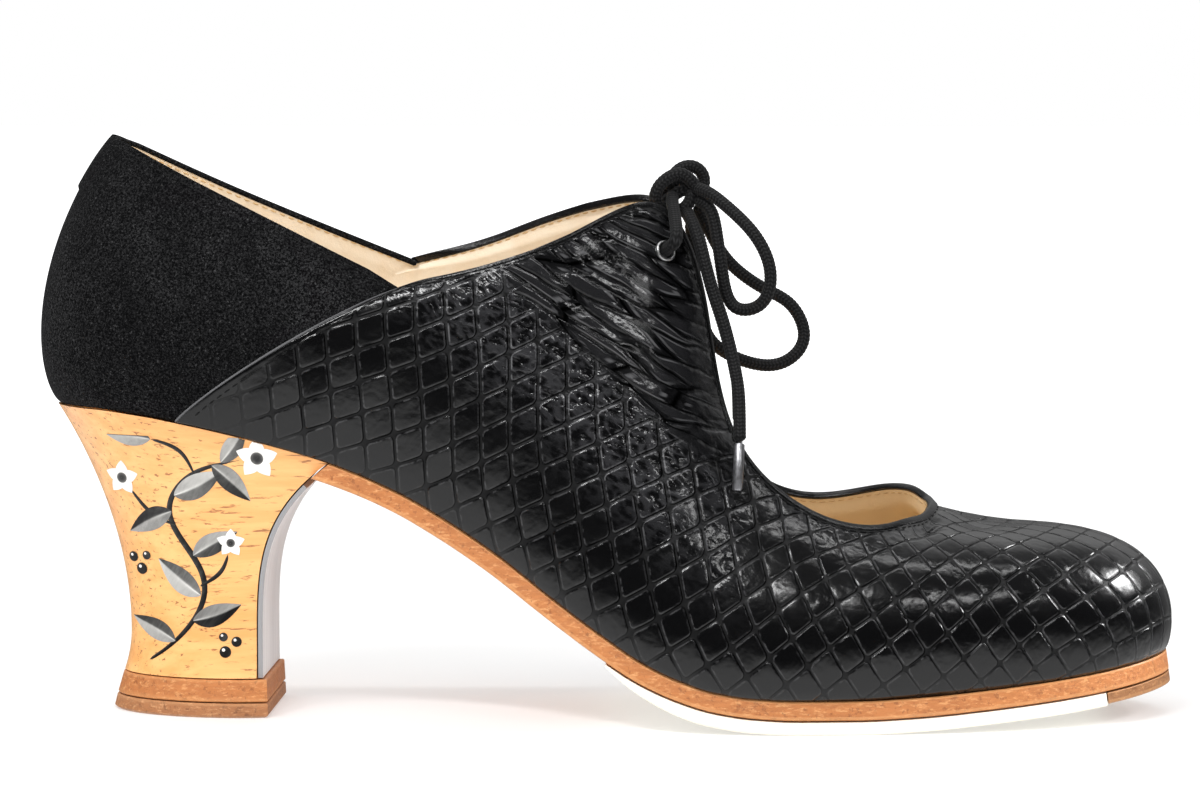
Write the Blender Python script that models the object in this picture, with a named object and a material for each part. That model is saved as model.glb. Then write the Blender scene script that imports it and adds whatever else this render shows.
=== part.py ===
"""Right flamenco shoe: a laced ankle shoe on a flared wooden heel.

Sizes are in millimetres and turned to metres as each mesh is made. +X runs to the toe, -Y is the
outer side of the foot, the floor is Z = 0 and the origin is under the middle of the shoe.
"""

from collections import namedtuple

import bmesh
import bpy
import numpy as np
from mathutils import Vector

MM = 0.001
NAME = "flamenco_shoe"

# Driving sizes
LENGTH = 242.0
BALL_OUT = 37.2
BALL_IN = 38.0
HEEL_HEIGHT = 65.9
BACK_HEIGHT = 123.3
FLAP_HEIGHT = 109.0
CENTRE = (0.167, 0.116)
GAP = 0.3
WIDE_GAP = 0.45

# Upper
WALL = 1.8
PANEL_LAP = 0.9
TAB_LAP = 0.6
TAB_REACH = 0.55
TAB_FROM = 0.8
ROUNDING = 0.7
FLARE_FROM = 0.78
UPPER_ROWS = 11
ROW_CROWD = 1.4
COLUMNS_PER_STATION = 3
STEP_WIDTH = 0.03
STEP_HEIGHT = 0.005
NUDGE = 0.004

# Sole, insole and half sole
SOLE_THICK = 4.1
SOLE_PROUD = 1.0
RUBBER_THICK = 2.8
RUBBER_BACK = 4.0
RUBBER_FULL = 24.0
RUBBER_FRONT = 105.6
RUBBER_EDGE = 0.4
RUBBER_INSET = 0.1
TOE_PIECE_THICK = 2.4
INSOLE_THICK = 2.0
INSOLE_CLEAR = 1.0
EDGE_ROUND = 0.8
EDGE_SHARE = 0.4
TIP_CLEAR = 0.05
SOLE_STATIONS = 44
RUBBER_STATIONS = 30
TOE_STATIONS = 14
INSOLE_STATIONS = 40
OUTLINE_SAMPLES = 1600
SLOPE_STEP = 0.5

# Heel: the waist is the narrow level above the lift
HEEL_FRONT_TOP = -57.2
HEEL_PROUD = 0.5
LIFT_HEIGHT = 8.1
BASE_HEIGHT = 3.4
BASE_BEVEL = 0.6
WAIST_BACK = -102.3
WAIST_FRONT = -73.4
WAIST_WIDEST = -79.0
WAIST_HALF = 16.6
WAIST_HALF_FRONT = 16.0
WAIST_LEVEL = 0.15
FOOT_FLARE = 0.05
BACK_CURVE = 1.9
BREAST_CURVE = 3.4
ROUND_POWER = 1.9
HEEL_LEVELS = 14
HEEL_SIDE = 12
COVER_THICK = 1.0
COVER_TOP = 0.9
COVER_LEVELS = 14
LEVEL_STEP = 0.01
SOLE_TAIL = 0.93
TAIL_FADE = 12.0

# Eyelets and lace
EYELET_STATION = 8.15
EYELET_ROW = 0.93
EYELET_HOLE = 1.6
EYELET_BARREL = 2.0
EYELET_FLANGE = 2.7
EYELET_RIM = 0.5
EYELET_DOME = 0.25
EYELET_SIDES = 24
CORD = 2.7
AGLET = 2.2
AGLET_LENGTH = 10.0
CORD_STEP = 5.5
BAR_REACH = 2.6
BAR_LIFT = (0.5, 0, 1.2)
SHARP_ANGLE = 0.7

# Height of the line where the upper meets the sole, along the shoe
SOLE_LINE = (
    (-LENGTH / 2 - 2, HEEL_HEIGHT),
    (-108, HEEL_HEIGHT - 0.1),
    (-97, 64.8),
    (-87, 63.0),
    (-72, 59.5),
    (-57, 55.0),
    (-42, 48.6),
    (-32, 42.9),
    (-21, 35.7),
    (-10, 27.5),
    (2, 19.1),
    (10, 14.1),
    (17, 11.0),
    (25, 8.6),
    (33, 7.5),
    (42, 7.1),
    (54, 7.1),
    (66, 7.6),
    (80, 8.7),
    (94, 10.0),
    (108, 11.6),
    (LENGTH / 2 + 2, 13.8),
)

# Sections round the upper from the heel to the toe. The foot is where the wall meets the sole and the
# edge is its free top: collar, flap and keyhole. Out is the outer half of the shoe, in the inner half.
# Shift and rise move the inner edge along the shoe and up, belly and crown bow the wall outwards and
# upwards, most of all at peak, and flare turns the edge up.
Section = namedtuple(
    "Section",
    "name foot_x foot_out foot_in edge_x edge_out edge_in edge_z shift rise belly crown peak flare",
)
SECTIONS = [
    Section(*row)
    for row in (
        ("heel_back", 3.9 - LENGTH / 2, 0, 0, -104.8, 0, 0, BACK_HEIGHT, 0, 0, 8.3, 0.5, 0.45, 0),
        ("heel_round", -110.5, 15.6, 15.6, -99, 13.0, 13.0, 120.7, 0, -0.9, 7.8, 0.5, 0.45, 0),
        ("heel_side", -100, 22.6, 22.6, -78, 22.0, 22.2, 110.7, 0, -1.0, 6.6, 0.5, 0.45, 0),
        ("panel_edge", -88.9, 25.1, 25.0, -39.2, 26.0, 27.0, 91.6, -3.0, 3.3, 5.0, 2.8, 0.5, 0),
        ("quarter", -71, 25.3, 24.4, -27.5, 25.2, 24.8, 95.9, -1.0, 3.0, 5.5, 1.5, 0.5, 0),
        ("waist_back", -54, 24.0, 21.2, -14.5, 22.8, 21.5, 100.9, 0, 3.4, 7.0, 0, 0.5, 0),
        ("waist", -36, 24.3, 18.4, -2.5, 18.0, 17.5, 106.0, 0, 1.6, 9.0, 0, 0.5, 0),
        ("shank", -18, 26.8, 19.2, 6.5, 12.8, 12.8, FLAP_HEIGHT, 0, 0.2, 10.0, 0, 0.5, 0),
        ("flap_corner", -4, 31.0, 24.0, 14.2, 9.6, 9.6, 106.0, -0.8, 0.3, 10.5, 0, 0.5, 0),
        ("flap_front", 7, 34.0, 28.6, 19.6, 9.0, 9.0, 94.0, -1.4, 0, 10.5, 0, 0.5, 0),
        ("flap_low", 16.5, 35.9, 32.7, 22.4, 9.4, 9.6, 78.5, -1.6, -1.5, 10.5, 0, 0.48, 0),
        ("flap_foot", 26, 36.9, 35.6, 25.7, 12.8, 12.8, 64.2, -1.6, -4.0, 10.0, 0, 0.45, 0),
        ("keyhole_top", 38.5, BALL_OUT, BALL_IN - 0.3, 33.2, 18.7, 18.7, 52.3, 0, -4.6, 8.6, 1.5, 0.42, 0),
        ("keyhole_side", 53.5, 35.8, BALL_IN, 46.5, 22.4, 22.0, 43.5, 0, 0.4, 7.8, 3.6, 0.4, 0),
        ("vamp_side", 72, 33.0, 35.8, 59.5, 19.6, 18.6, 41.6, 0, 4.6, 7.6, 7.2, 0.38, 0.6),
        ("toe_side", 93, 26.6, 29.6, 66.4, 9.8, 11.0, 44.3, 0, 2.4, 7.8, 10.6, 0.36, 3.0),
        ("toe_corner", 110.8, 15.4, 19.6, 68.8, 3.0, 7.0, 46.0, 0, 0.6, 8.2, 12.4, 0.34, 5.6),
        ("toe_tip", LENGTH / 2 - 1.6, -3, 3, 69.3, -2.2, 2.2, 46.5, 0, 0, 8.6, 13.0, 0.34, 6.4),
    )
]
TOE = len(SECTIONS) - 1
AROUND = 2 * TOE
PANEL_AT = [row.name for row in SECTIONS].index("panel_edge")
# A narrow inner waist makes the wall over it swell by this share of the difference
INNER_SWELL = 0.6

# Routes of the lace as x, y and z, each from the knot outwards
LACE_ROUTES = {
    "lace_loop_lateral": (
        (19.4, -3.6, 112.2),
        (22.8, -7.6, 111.0),
        (27.5, -11.2, 107.4),
        (32.0, -13.8, 102.8),
        (35.0, -15.0, 97.0),
        (35.2, -14.8, 91.4),
        (32.8, -13.8, 87.7),
        (28.8, -12.2, 87.0),
        (26.2, -11.0, 90.0),
        (25.0, -10.4, 96.0),
        (24.0, -8.8, 102.5),
        (22.6, -6.4, 107.6),
        (19.7, -3.4, 109.6),
    ),
    "lace_loop_medial": (
        (19.7, 0.8, 108.7),
        (22.4, 2.8, 102.6),
        (26.5, 4.5, 96.0),
        (33.5, 5.6, 90.6),
        (39.5, 6.0, 87.0),
        (42.5, 5.2, 81.0),
        (40.5, 3.6, 76.2),
        (35.3, 2.0, 74.1),
        (28.5, 0.4, 75.6),
        (23.0, -0.4, 79.2),
        (20.4, -0.2, 85.0),
        (19.2, -0.6, 93.0),
        (18.8, -1.2, 100.0),
        (18.2, -1.5, 105.0),
    ),
    "lace_end_lateral": (
        (17.1, -3.5, 107.4),
        (18.7, -8.8, 105.2),
        (20.8, -12.8, 99.8),
        (23.1, -14.8, 91.7),
        (25.7, -16.4, 84.0),
        (28.1, -19.6, 74.6),
        (29.0, -22.4, 68.4),
        (29.2, -26.0, 60.2),
    ),
    "lace_end_medial": (
        (17.0, 0.3, 107.4),
        (18.2, 5.6, 105.6),
        (19.8, 11.4, 101.0),
        (22.0, 15.0, 91.5),
        (24.6, 17.4, 83.0),
        (27.0, 20.6, 74.0),
        (28.0, 23.4, 68.0),
        (28.2, 27.0, 60.0),
    ),
}
KNOT_AT = (15.4, -1.6, 110.6)
AGLET_DROP = {"lateral": (-0.4, -2.4, -9.4), "medial": (-0.4, 2.4, -9.4)}


def natural_spline(values, at):
    """Values at the whole numbers 0, 1, 2... joined by the cubic spline with no bend at its two ends."""
    values = np.asarray(values, float)
    count = len(values)
    bends = np.eye(count)
    right = np.zeros_like(values)
    for i in range(1, count - 1):
        bends[i, i - 1 : i + 2] = (1, 4, 1)
        right[i] = 6 * (values[i - 1] - 2 * values[i] + values[i + 1])
    bend = np.linalg.solve(bends, right)
    at = np.atleast_1d(np.asarray(at, float))
    low = np.clip(np.floor(at).astype(int), 0, count - 2)
    ahead = at - low
    behind = 1 - ahead
    if values.ndim > 1:
        ahead, behind = ahead[:, None], behind[:, None]
    return (
        behind * values[low]
        + ahead * values[low + 1]
        + (behind**3 - behind) * bend[low] / 6
        + (ahead**3 - ahead) * bend[low + 1] / 6
    )


def curve_through(points, at):
    """A smooth curve through points with uneven steps: at runs from 0 to 1 along their chords."""
    points = np.asarray(points, float)
    chords = np.concatenate([[0], np.cumsum(np.linalg.norm(np.diff(points, axis=0), axis=1))])
    return natural_spline(points, np.interp(at, chords / chords[-1], np.arange(len(points))))


def monotone(table, x):
    """A table of (x, value) joined by cubics that never overshoot it."""
    knots, values = np.asarray(table, float).T
    steps = np.diff(knots)
    slopes = np.diff(values) / steps
    tangents = np.concatenate([slopes[:1], slopes[1:], slopes[-1:]])
    for i in range(1, len(slopes)):
        turn = slopes[i - 1] * slopes[i]
        before, after = 2 * steps[i] + steps[i - 1], steps[i] + 2 * steps[i - 1]
        mixed = (before + after) / (before / slopes[i - 1] + after / slopes[i]) if turn > 0 else 0.0
        tangents[i] = mixed
    x = np.clip(x, knots[0], knots[-1])
    low = np.clip(np.searchsorted(knots, x) - 1, 0, len(steps) - 1)
    u = (x - knots[low]) / steps[low]
    return (
        values[low] * (1 + 2 * u) * (1 - u) ** 2
        + values[low + 1] * u * u * (3 - 2 * u)
        + steps[low] * (tangents[low] * u * (1 - u) ** 2 - tangents[low + 1] * u * u * (1 - u))
    )


def sole_line(x):
    return monotone(SOLE_LINE, np.asarray(x, float))


def sole_slope(x):
    return (sole_line(x + SLOPE_STEP) - sole_line(x - SLOPE_STEP)) / (2 * SLOPE_STEP)


def round_trip(outer, inner):
    """One value for each station round the shoe: heel to toe on the outer side, then back on the inner."""
    return np.array([outer(row) for row in SECTIONS] + [inner(row) for row in SECTIONS[-2:0:-1]], float)


def wrapped(values, at, margin=6):
    """The closed spline through the stations, by running the open one on past both ends."""
    padded = np.concatenate([values[-margin:], values, values[:margin]])
    return natural_spline(padded, np.mod(at, AROUND) + margin)


FOOT = round_trip(lambda row: (row.foot_x, -row.foot_out), lambda row: (row.foot_x, row.foot_in))
EDGE = round_trip(
    lambda row: (row.edge_x, -row.edge_out, row.edge_z - row.flare),
    lambda row: (row.edge_x + row.shift, row.edge_in, row.edge_z + row.rise - row.flare),
)
BELLY = round_trip(
    lambda row: row.belly, lambda row: row.belly + INNER_SWELL * (row.foot_out - row.foot_in)
)
CROWN = round_trip(lambda row: row.crown, lambda row: row.crown)
PEAK = round_trip(lambda row: row.peak, lambda row: row.peak)
FLARE = round_trip(lambda row: row.flare, lambda row: row.flare)


def foot_line(at):
    return wrapped(FOOT, at)


def foot_normal(at):
    """Level direction out of the shoe, on the right of the line from heel to toe along the outer side."""
    ahead = foot_line(at + NUDGE) - foot_line(at - NUDGE)
    normal = np.stack([ahead[:, 1], -ahead[:, 0]], axis=1)
    return normal / np.linalg.norm(normal, axis=1)[:, None]


def free_edge(at):
    """The collar's back and the panel's own edge are two splines that meet at sharp notches."""
    at = np.mod(at, AROUND)
    back = np.concatenate([EDGE[-PANEL_AT:], EDGE[: PANEL_AT + 1]])
    front = EDGE[PANEL_AT : AROUND - PANEL_AT + 1]
    on_back = (at < PANEL_AT) | (at > AROUND - PANEL_AT)
    from_notch = np.where(at > AROUND / 2, at - AROUND, at) + PANEL_AT
    return np.where(
        on_back[:, None],
        natural_spline(back, np.clip(from_notch, 0, 2 * PANEL_AT)),
        natural_spline(front, np.clip(at - PANEL_AT, 0, len(front) - 1)),
    )


def bow(share, peak):
    """Rises from 0 to 1 at peak and falls to 0 again, steep at the start."""
    fall = ROUNDING * (1 - peak) / peak
    most = peak**ROUNDING * (1 - peak) ** fall
    return share**ROUNDING * (1 - share) ** fall / most


def wall_point(at, share):
    """The upper's surface: the chord from foot to edge, bowed outwards and up, with its edge flared."""
    foot = foot_line(at)
    start = np.column_stack([foot, sole_line(foot[:, 0]) + GAP])
    chord = free_edge(at) - start
    swell = bow(share, wrapped(PEAK, at))
    lip = np.clip((share - FLARE_FROM) / (1 - FLARE_FROM), 0, 1) ** 2
    point = start + chord * share[:, None]
    point[:, :2] += foot_normal(at) * (wrapped(BELLY, at) * swell)[:, None]
    point[:, 2] += wrapped(CROWN, at) * swell + wrapped(FLARE, at) * lip
    return point


def wall_normal(at, share):
    """Direction out of the wall, and level at its foot so that the rim lies flat on the sole."""
    low, high = np.clip(share - NUDGE, 0, 1), np.clip(share + NUDGE, 0, 1)
    along = wall_point(at + NUDGE, share) - wall_point(at - NUDGE, share)
    up = wall_point(at, high) - wall_point(at, low)
    normal = np.cross(along, up)
    normal /= np.linalg.norm(normal, axis=1)[:, None]
    level = np.column_stack([foot_normal(at), np.zeros(len(at))])
    return np.where((share < NUDGE)[:, None], level, normal)


def lap(at, share):
    """How far the outside stands proud of the suede: the panel, and the tab at the back of the collar."""
    at = np.mod(at, AROUND)
    panel = (at > PANEL_AT) & (at < AROUND - PANEL_AT)
    tab = (np.minimum(at, AROUND - at) < TAB_REACH) & (share > TAB_FROM)
    return PANEL_LAP * panel + TAB_LAP * tab


def metres(points):
    points = np.array(points, float)
    points[..., 0] -= CENTRE[0]
    points[..., 1] -= CENTRE[1]
    return points * MM


def add_object(name, vertices, faces, finish):
    mesh = bpy.data.meshes.new(name)
    mesh.from_pydata([tuple(point) for point in metres(vertices)], [], faces)
    mesh.validate()
    piece = bpy.data.objects.new(name, mesh)
    return dress(piece, finish)


def dress(piece, finish):
    """Puts a finished object in the shoe's collection, with its material, shaded smooth."""
    if piece.type == "MESH":
        shape = bmesh.new()
        shape.from_mesh(piece.data)
        bmesh.ops.recalc_face_normals(shape, faces=shape.faces)
        shape.to_mesh(piece.data)
        shape.free()
        piece.data.shade_smooth()
        piece.data.set_sharp_from_angle(angle=SHARP_ANGLE)
    piece.data.materials.append(FINISHES[finish])
    SHOE.objects.link(piece)
    return piece


def closed_grid(rows, columns):
    """Faces of a grid that closes on itself both ways, as the two sides of a wall do."""
    faces = []
    for i in range(rows):
        for j in range(columns):
            k, m = (i + 1) % rows, (j + 1) % columns
            faces.append((i * columns + j, i * columns + m, k * columns + m, k * columns + j))
    return faces


def stacked(name, rings, finish):
    """A solid through closed rings of equal length, its ends closed by strips across them."""
    rings = np.asarray(rings, float)
    levels, count, _ = rings.shape
    faces = []
    for i in range(levels - 1):
        for j in range(count):
            m = (j + 1) % count
            faces.append((i * count + j, i * count + m, (i + 1) * count + m, (i + 1) * count + j))
    for start in (0, (levels - 1) * count):
        for j in range((count - 1) // 2):
            strip = (j, j + 1, count - 2 - j, count - 1 - j)
            faces.append(tuple(dict.fromkeys(start + k for k in strip)))
    return add_object(name, rings.reshape(-1, 3), faces, finish)


def make_finish(name, colour, roughness, metallic=0.0):
    material = bpy.data.materials.new(name)
    material.use_nodes = True
    shader = material.node_tree.nodes["Principled BSDF"]
    shader.inputs["Base Color"].default_value = (*colour, 1)
    shader.inputs["Roughness"].default_value = roughness
    shader.inputs["Metallic"].default_value = metallic
    return material


def make_upper():
    """The wall's outside from foot to edge, then its inside from edge to foot."""
    stations = np.arange(0, AROUND, 1 / COLUMNS_PER_STATION)
    notches = (PANEL_AT, AROUND - PANEL_AT)
    tabs = (TAB_REACH, AROUND - TAB_REACH)
    stations = np.array([at for at in stations if at not in notches])
    steps = [edge + side * STEP_WIDTH for edge in notches + tabs for side in (-1, 1)]
    stations = np.unique(np.concatenate([stations, steps]))
    shares = np.linspace(0, 1, UPPER_ROWS) ** ROW_CROWD
    shares = np.unique(np.concatenate([shares, [TAB_FROM - STEP_HEIGHT, TAB_FROM + STEP_HEIGHT]]))
    at = np.tile(stations, len(shares))
    share = np.repeat(shares, len(stations))
    surface, outwards = wall_point(at, share), wall_normal(at, share)
    outside = surface + outwards * lap(at, share)[:, None]
    inside = surface - outwards * WALL
    rim = share == 0
    for side in (outside, inside):
        side[rim, 2] = sole_line(side[rim, 0]) + GAP
    shape = (len(shares), len(stations), 3)
    grid = np.concatenate([outside.reshape(shape), inside.reshape(shape)[::-1]])
    faces = closed_grid(2 * len(shares), len(stations))
    return add_object("upper", grid.reshape(-1, 3), faces, "embossed_black")


def outline(proud):
    """The foot line moved out by proud, as an outer and an inner half from the heel's back to the toe."""
    at = np.linspace(0, AROUND, OUTLINE_SAMPLES, endpoint=False)
    line = foot_line(at) + foot_normal(at) * proud
    line = np.roll(line, -np.argmin(line[:, 0]), axis=0)
    toe = np.argmax(line[:, 0])
    return line[: toe + 1], line[toe:][::-1]


def half_widths(x, proud):
    """Outer and inner edge of the foot line, moved out by proud, at places along the shoe."""
    outer, inner = outline(proud)
    return np.interp(x, outer[:, 0], outer[:, 1]), np.interp(x, inner[:, 0], inner[:, 1])


def line_ends(proud):
    """The back and the front of the foot line moved out by proud, short of the last point by a hair."""
    outer, _ = outline(proud)
    return outer[0, 0] + TIP_CLEAR, outer[-1, 0] - TIP_CLEAR


def crowded(start, end, count, both=False):
    """Places that crowd towards the end, where the outline turns across the shoe, or towards both ends."""
    turn = np.sin(np.linspace(-np.pi / 2 if both else 0, np.pi / 2, count))
    return start + (end - start) * (turn - turn[0]) / (1 - turn[0])


def along_normal(x, depth):
    """The point that lies depth below the sole line, square to it."""
    slope = sole_slope(x)
    size = np.sqrt(1 + slope**2)
    return x + depth * slope / size, sole_line(x) - depth / size


def plate(name, x, top, thick, proud, finish, rounded=True, floor=None, tail=None):
    """A layer of the sole: its section at each place along the shoe has rounded lower corners."""
    outer, inner = half_widths(x, proud)
    thick = np.broadcast_to(thick, x.shape)
    corner = np.minimum(EDGE_ROUND, EDGE_SHARE * thick) if rounded else 0 * x
    rings = []
    for depth, inset in ((0 * x, 0 * x), (thick - corner, 0 * x), (thick, corner)):
        px, pz = along_normal(x, top + depth)
        if tail is not None:
            px, pz = px + tail[0] * depth / thick, pz + tail[1] * depth / thick
        if floor is not None:
            pz = np.maximum(pz, floor)
        room = np.minimum(inset, EDGE_SHARE * (inner - outer))
        rings.append((px, outer + room, inner - room, pz))
    section = [(r[0], r[1], r[3]) for r in rings] + [(r[0], r[2], r[3]) for r in rings[::-1]]
    return stacked(name, np.transpose(np.array(section), (2, 0, 1)), finish)


def breast(level):
    """The front of the heel at a level from its foot, 0, to the lip under the foot, 1."""
    height = LIFT_HEIGHT + GAP + (sole_line(HEEL_FRONT_TOP) - LIFT_HEIGHT - GAP) * level
    spread = np.clip((level - WAIST_LEVEL) / (1 - WAIST_LEVEL), 0, 1) ** BREAST_CURVE
    return WAIST_FRONT + (HEEL_FRONT_TOP - WAIST_FRONT) * spread, height


def make_outsole():
    back = HEEL_FRONT_TOP + GAP
    x = crowded(back, line_ends(SOLE_PROUD)[1], SOLE_STATIONS)
    tail_x, tail_z = breast(SOLE_TAIL)
    plain_x, plain_z = along_normal(np.array([back]), SOLE_THICK)
    fade = np.clip(1 - (x - back) / TAIL_FADE, 0, 1) ** 2
    tail = ((tail_x + WIDE_GAP - plain_x) * fade, (tail_z - plain_z) * fade)
    return plate("outsole", x, 0.0, SOLE_THICK, SOLE_PROUD, "sole_leather", tail=tail)


def make_half_sole():
    """White rubber under the ball, flat on the floor where the shoe stands, and the leather toe tip."""
    top = SOLE_THICK + GAP
    proud = SOLE_PROUD - RUBBER_INSET
    x = np.linspace(RUBBER_BACK, RUBBER_FRONT, RUBBER_STATIONS)
    share = np.clip((x - RUBBER_BACK) / (RUBBER_FULL - RUBBER_BACK), 0, 1)
    thick = RUBBER_EDGE + (RUBBER_THICK - RUBBER_EDGE) * share * (2 - share)
    plate("rubber_forepart", x, top, thick, proud, "white_rubber", floor=0.0)
    x = crowded(RUBBER_FRONT + GAP, line_ends(proud)[1], TOE_STATIONS)
    plate("toe_piece", x, top, TOE_PIECE_THICK, proud, "sole_leather")


def make_insole():
    proud = -WALL - INSOLE_CLEAR
    x = crowded(*line_ends(proud), INSOLE_STATIONS, both=True)
    plate("insole", x, -GAP - INSOLE_THICK, INSOLE_THICK, proud, "lining_leather", rounded=False)


def heel_outline(x, back, front, widest, half, half_front):
    """Half width of a D seen from above: rounded behind its widest place, drawn in a little in front."""
    behind = np.clip((widest - x) / (widest - back), 0, 1)
    ahead = np.clip((x - widest) / (front - widest), 0, 1)
    return np.where(
        x < widest,
        half * (1 - behind**ROUND_POWER) ** (1 / ROUND_POWER),
        half - (half - half_front) * ahead**2,
    )


def make_heel():
    """Rings from the narrow foot up to the seat, which has the outline of the upper above it."""
    seat_back = line_ends(HEEL_PROUD)[0]
    share = crowded(0, 1, HEEL_SIDE + 1)
    seat_x = HEEL_FRONT_TOP + (seat_back - HEEL_FRONT_TOP) * share
    waist_x = WAIST_FRONT + (WAIST_BACK - WAIST_FRONT) * share
    seat_out, seat_in = half_widths(seat_x, HEEL_PROUD)
    waist_half = heel_outline(
        waist_x, WAIST_BACK, WAIST_FRONT, WAIST_WIDEST, WAIST_HALF, WAIST_HALF_FRONT
    )
    seat_out[-1] = seat_in[-1] = (seat_out[-1] + seat_in[-1]) / 2
    seat_z = sole_line(seat_x)
    power = BREAST_CURVE + (BACK_CURVE - BREAST_CURVE) * np.linspace(0, 1, HEEL_SIDE + 1)
    foot_z = LIFT_HEIGHT + GAP
    rings = []
    for level in np.linspace(0, 1, HEEL_LEVELS):
        spread = np.clip((level - WAIST_LEVEL) / (1 - WAIST_LEVEL), 0, 1) ** power
        foot = FOOT_FLARE * np.clip(1 - level / WAIST_LEVEL, 0, 1) ** 2
        x = waist_x + (seat_x - waist_x) * spread + foot * (waist_x - WAIST_FRONT)
        z = foot_z + (seat_z - foot_z) * level
        outer = -waist_half * (1 + foot) + (seat_out + waist_half) * spread
        inner = waist_half * (1 + foot) + (seat_in - waist_half) * spread
        rings.append(list(zip(x, outer, z)) + list(zip(x, inner, z))[-2::-1])
    stacked("heel", rings, "heel_wood")


def make_breast_cover():
    """A thin sheet that follows the heel's front face up to the outsole."""
    levels = np.linspace(0, COVER_TOP, COVER_LEVELS)
    x, z = breast(levels)
    next_x, next_z = breast(levels + LEVEL_STEP)
    size = np.hypot(next_x - x, next_z - z)
    out_x, out_z = (next_z - z) / size, (x - next_x) / size
    spread = np.clip((levels - WAIST_LEVEL) / (1 - WAIST_LEVEL), 0, 1) ** BREAST_CURVE
    outer_top, inner_top = half_widths(np.array([HEEL_FRONT_TOP]), HEEL_PROUD)
    outer = -WAIST_HALF_FRONT + (outer_top + WAIST_HALF_FRONT) * spread
    inner = WAIST_HALF_FRONT + (inner_top - WAIST_HALF_FRONT) * spread
    near = (x + GAP * out_x, z + GAP * out_z)
    far = (x + (GAP + COVER_THICK) * out_x, z + (GAP + COVER_THICK) * out_z)
    section = [(near[0], outer, near[1]), (near[0], inner, near[1])]
    section += [(far[0], inner, far[1]), (far[0], outer, far[1])]
    stacked("breast_cover", np.transpose(np.array(section), (2, 0, 1)), "breast_grey")


# Outline of the lift at heights above the floor
LiftLevel = namedtuple("LiftLevel", "height back front half half_front")
LIFT_LEVELS = (
    LiftLevel(0.0, -105.6, -71.2, 18.0, 17.2),
    LiftLevel(BASE_BEVEL, -106.0, -70.9, 18.3, 17.5),
    LiftLevel(BASE_HEIGHT, -105.3, -71.0, 18.0, 17.3),
    LiftLevel(LIFT_HEIGHT, -103.9, -71.2, 17.4, 16.9),
)


def lift_ring(height):
    table = np.array(LIFT_LEVELS)
    back, front, half, half_front = (np.interp(height, table[:, 0], table[:, k]) for k in range(1, 5))
    x = crowded(front, back, HEEL_SIDE + 1)
    y = heel_outline(x, back, front, WAIST_WIDEST, half, half_front)
    return [(a, -b, height) for a, b in zip(x, y)] + [(a, b, height) for a, b in zip(x, y)][-2::-1]


def make_lifts():
    base = (0.0, BASE_BEVEL, BASE_HEIGHT - GAP)
    stacked("heel_lift_base", [lift_ring(height) for height in base], "lift_base")
    stacked("heel_lift", [lift_ring(height) for height in (BASE_HEIGHT, LIFT_HEIGHT)], "sole_leather")


def eyelet_place(side):
    """Centre on the flap's outside and the direction out of it."""
    at = np.array([EYELET_STATION if side < 0 else AROUND - EYELET_STATION])
    share = np.array([EYELET_ROW])
    outwards = wall_normal(at, share)[0]
    return wall_point(at, share)[0] + outwards * PANEL_LAP, outwards


def make_eyelets(upper):
    """Turned rings set in holes through the flaps."""
    depth = WALL + PANEL_LAP
    profile = (
        (EYELET_HOLE, EYELET_RIM),
        (EYELET_HOLE + EYELET_DOME, EYELET_RIM + EYELET_DOME),
        (EYELET_FLANGE - EYELET_DOME, EYELET_RIM + EYELET_DOME),
        (EYELET_FLANGE, EYELET_RIM),
        (EYELET_FLANGE, GAP),
        (EYELET_BARREL, GAP),
        (EYELET_BARREL, -depth),
        (EYELET_HOLE, -depth),
    )
    for name, side in (("lateral", -1), ("medial", 1)):
        centre, outwards = eyelet_place(side)
        turn = Vector(outwards).to_track_quat("Z", "Y")
        ring = [
            [(r * np.cos(a), r * np.sin(a), h) for r, h in profile]
            for a in np.linspace(0, 2 * np.pi, EYELET_SIDES, endpoint=False)
        ]
        points = np.array(ring).reshape(-1, 3) @ np.array(turn.to_matrix()).T + centre
        add_object(f"eyelet_{name}", points, closed_grid(EYELET_SIDES, len(profile)), "nickel")
        bpy.ops.mesh.primitive_cylinder_add(
            vertices=EYELET_SIDES, radius=(EYELET_BARREL + GAP) * MM, depth=4 * depth * MM
        )
        cutter = bpy.context.object
        cutter.name = f"cut_eyelet_{name}"
        cutter.rotation_mode = "QUATERNION"
        cutter.rotation_quaternion = turn
        cutter.location = metres(centre)
        cutter.hide_render = True
        cutter.display_type = "WIRE"
        for home in cutter.users_collection:
            home.objects.unlink(cutter)
        CUTTERS.objects.link(cutter)
        hole = upper.modifiers.new(f"hole_{name}", "BOOLEAN")
        hole.object = cutter


def add_tube(name, route, thickness, finish):
    """A round cord along a smooth curve through its route, with a point every couple of widths."""
    length = np.linalg.norm(np.diff(np.asarray(route, float), axis=0), axis=1).sum()
    count = max(4, int(length / CORD_STEP) + 1)
    points = metres(curve_through(route, np.linspace(0, 1, count)))
    path = bpy.data.curves.new(name, "CURVE")
    path.dimensions = "3D"
    path.bevel_depth = thickness / 2 * MM
    path.bevel_resolution = 2
    path.use_fill_caps = True
    spline = path.splines.new("POLY")
    spline.points.add(count - 1)
    for point, place in zip(spline.points, points):
        point.co = (*place, 1)
    spline.use_smooth = True
    return dress(bpy.data.objects.new(name, path), finish)


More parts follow.
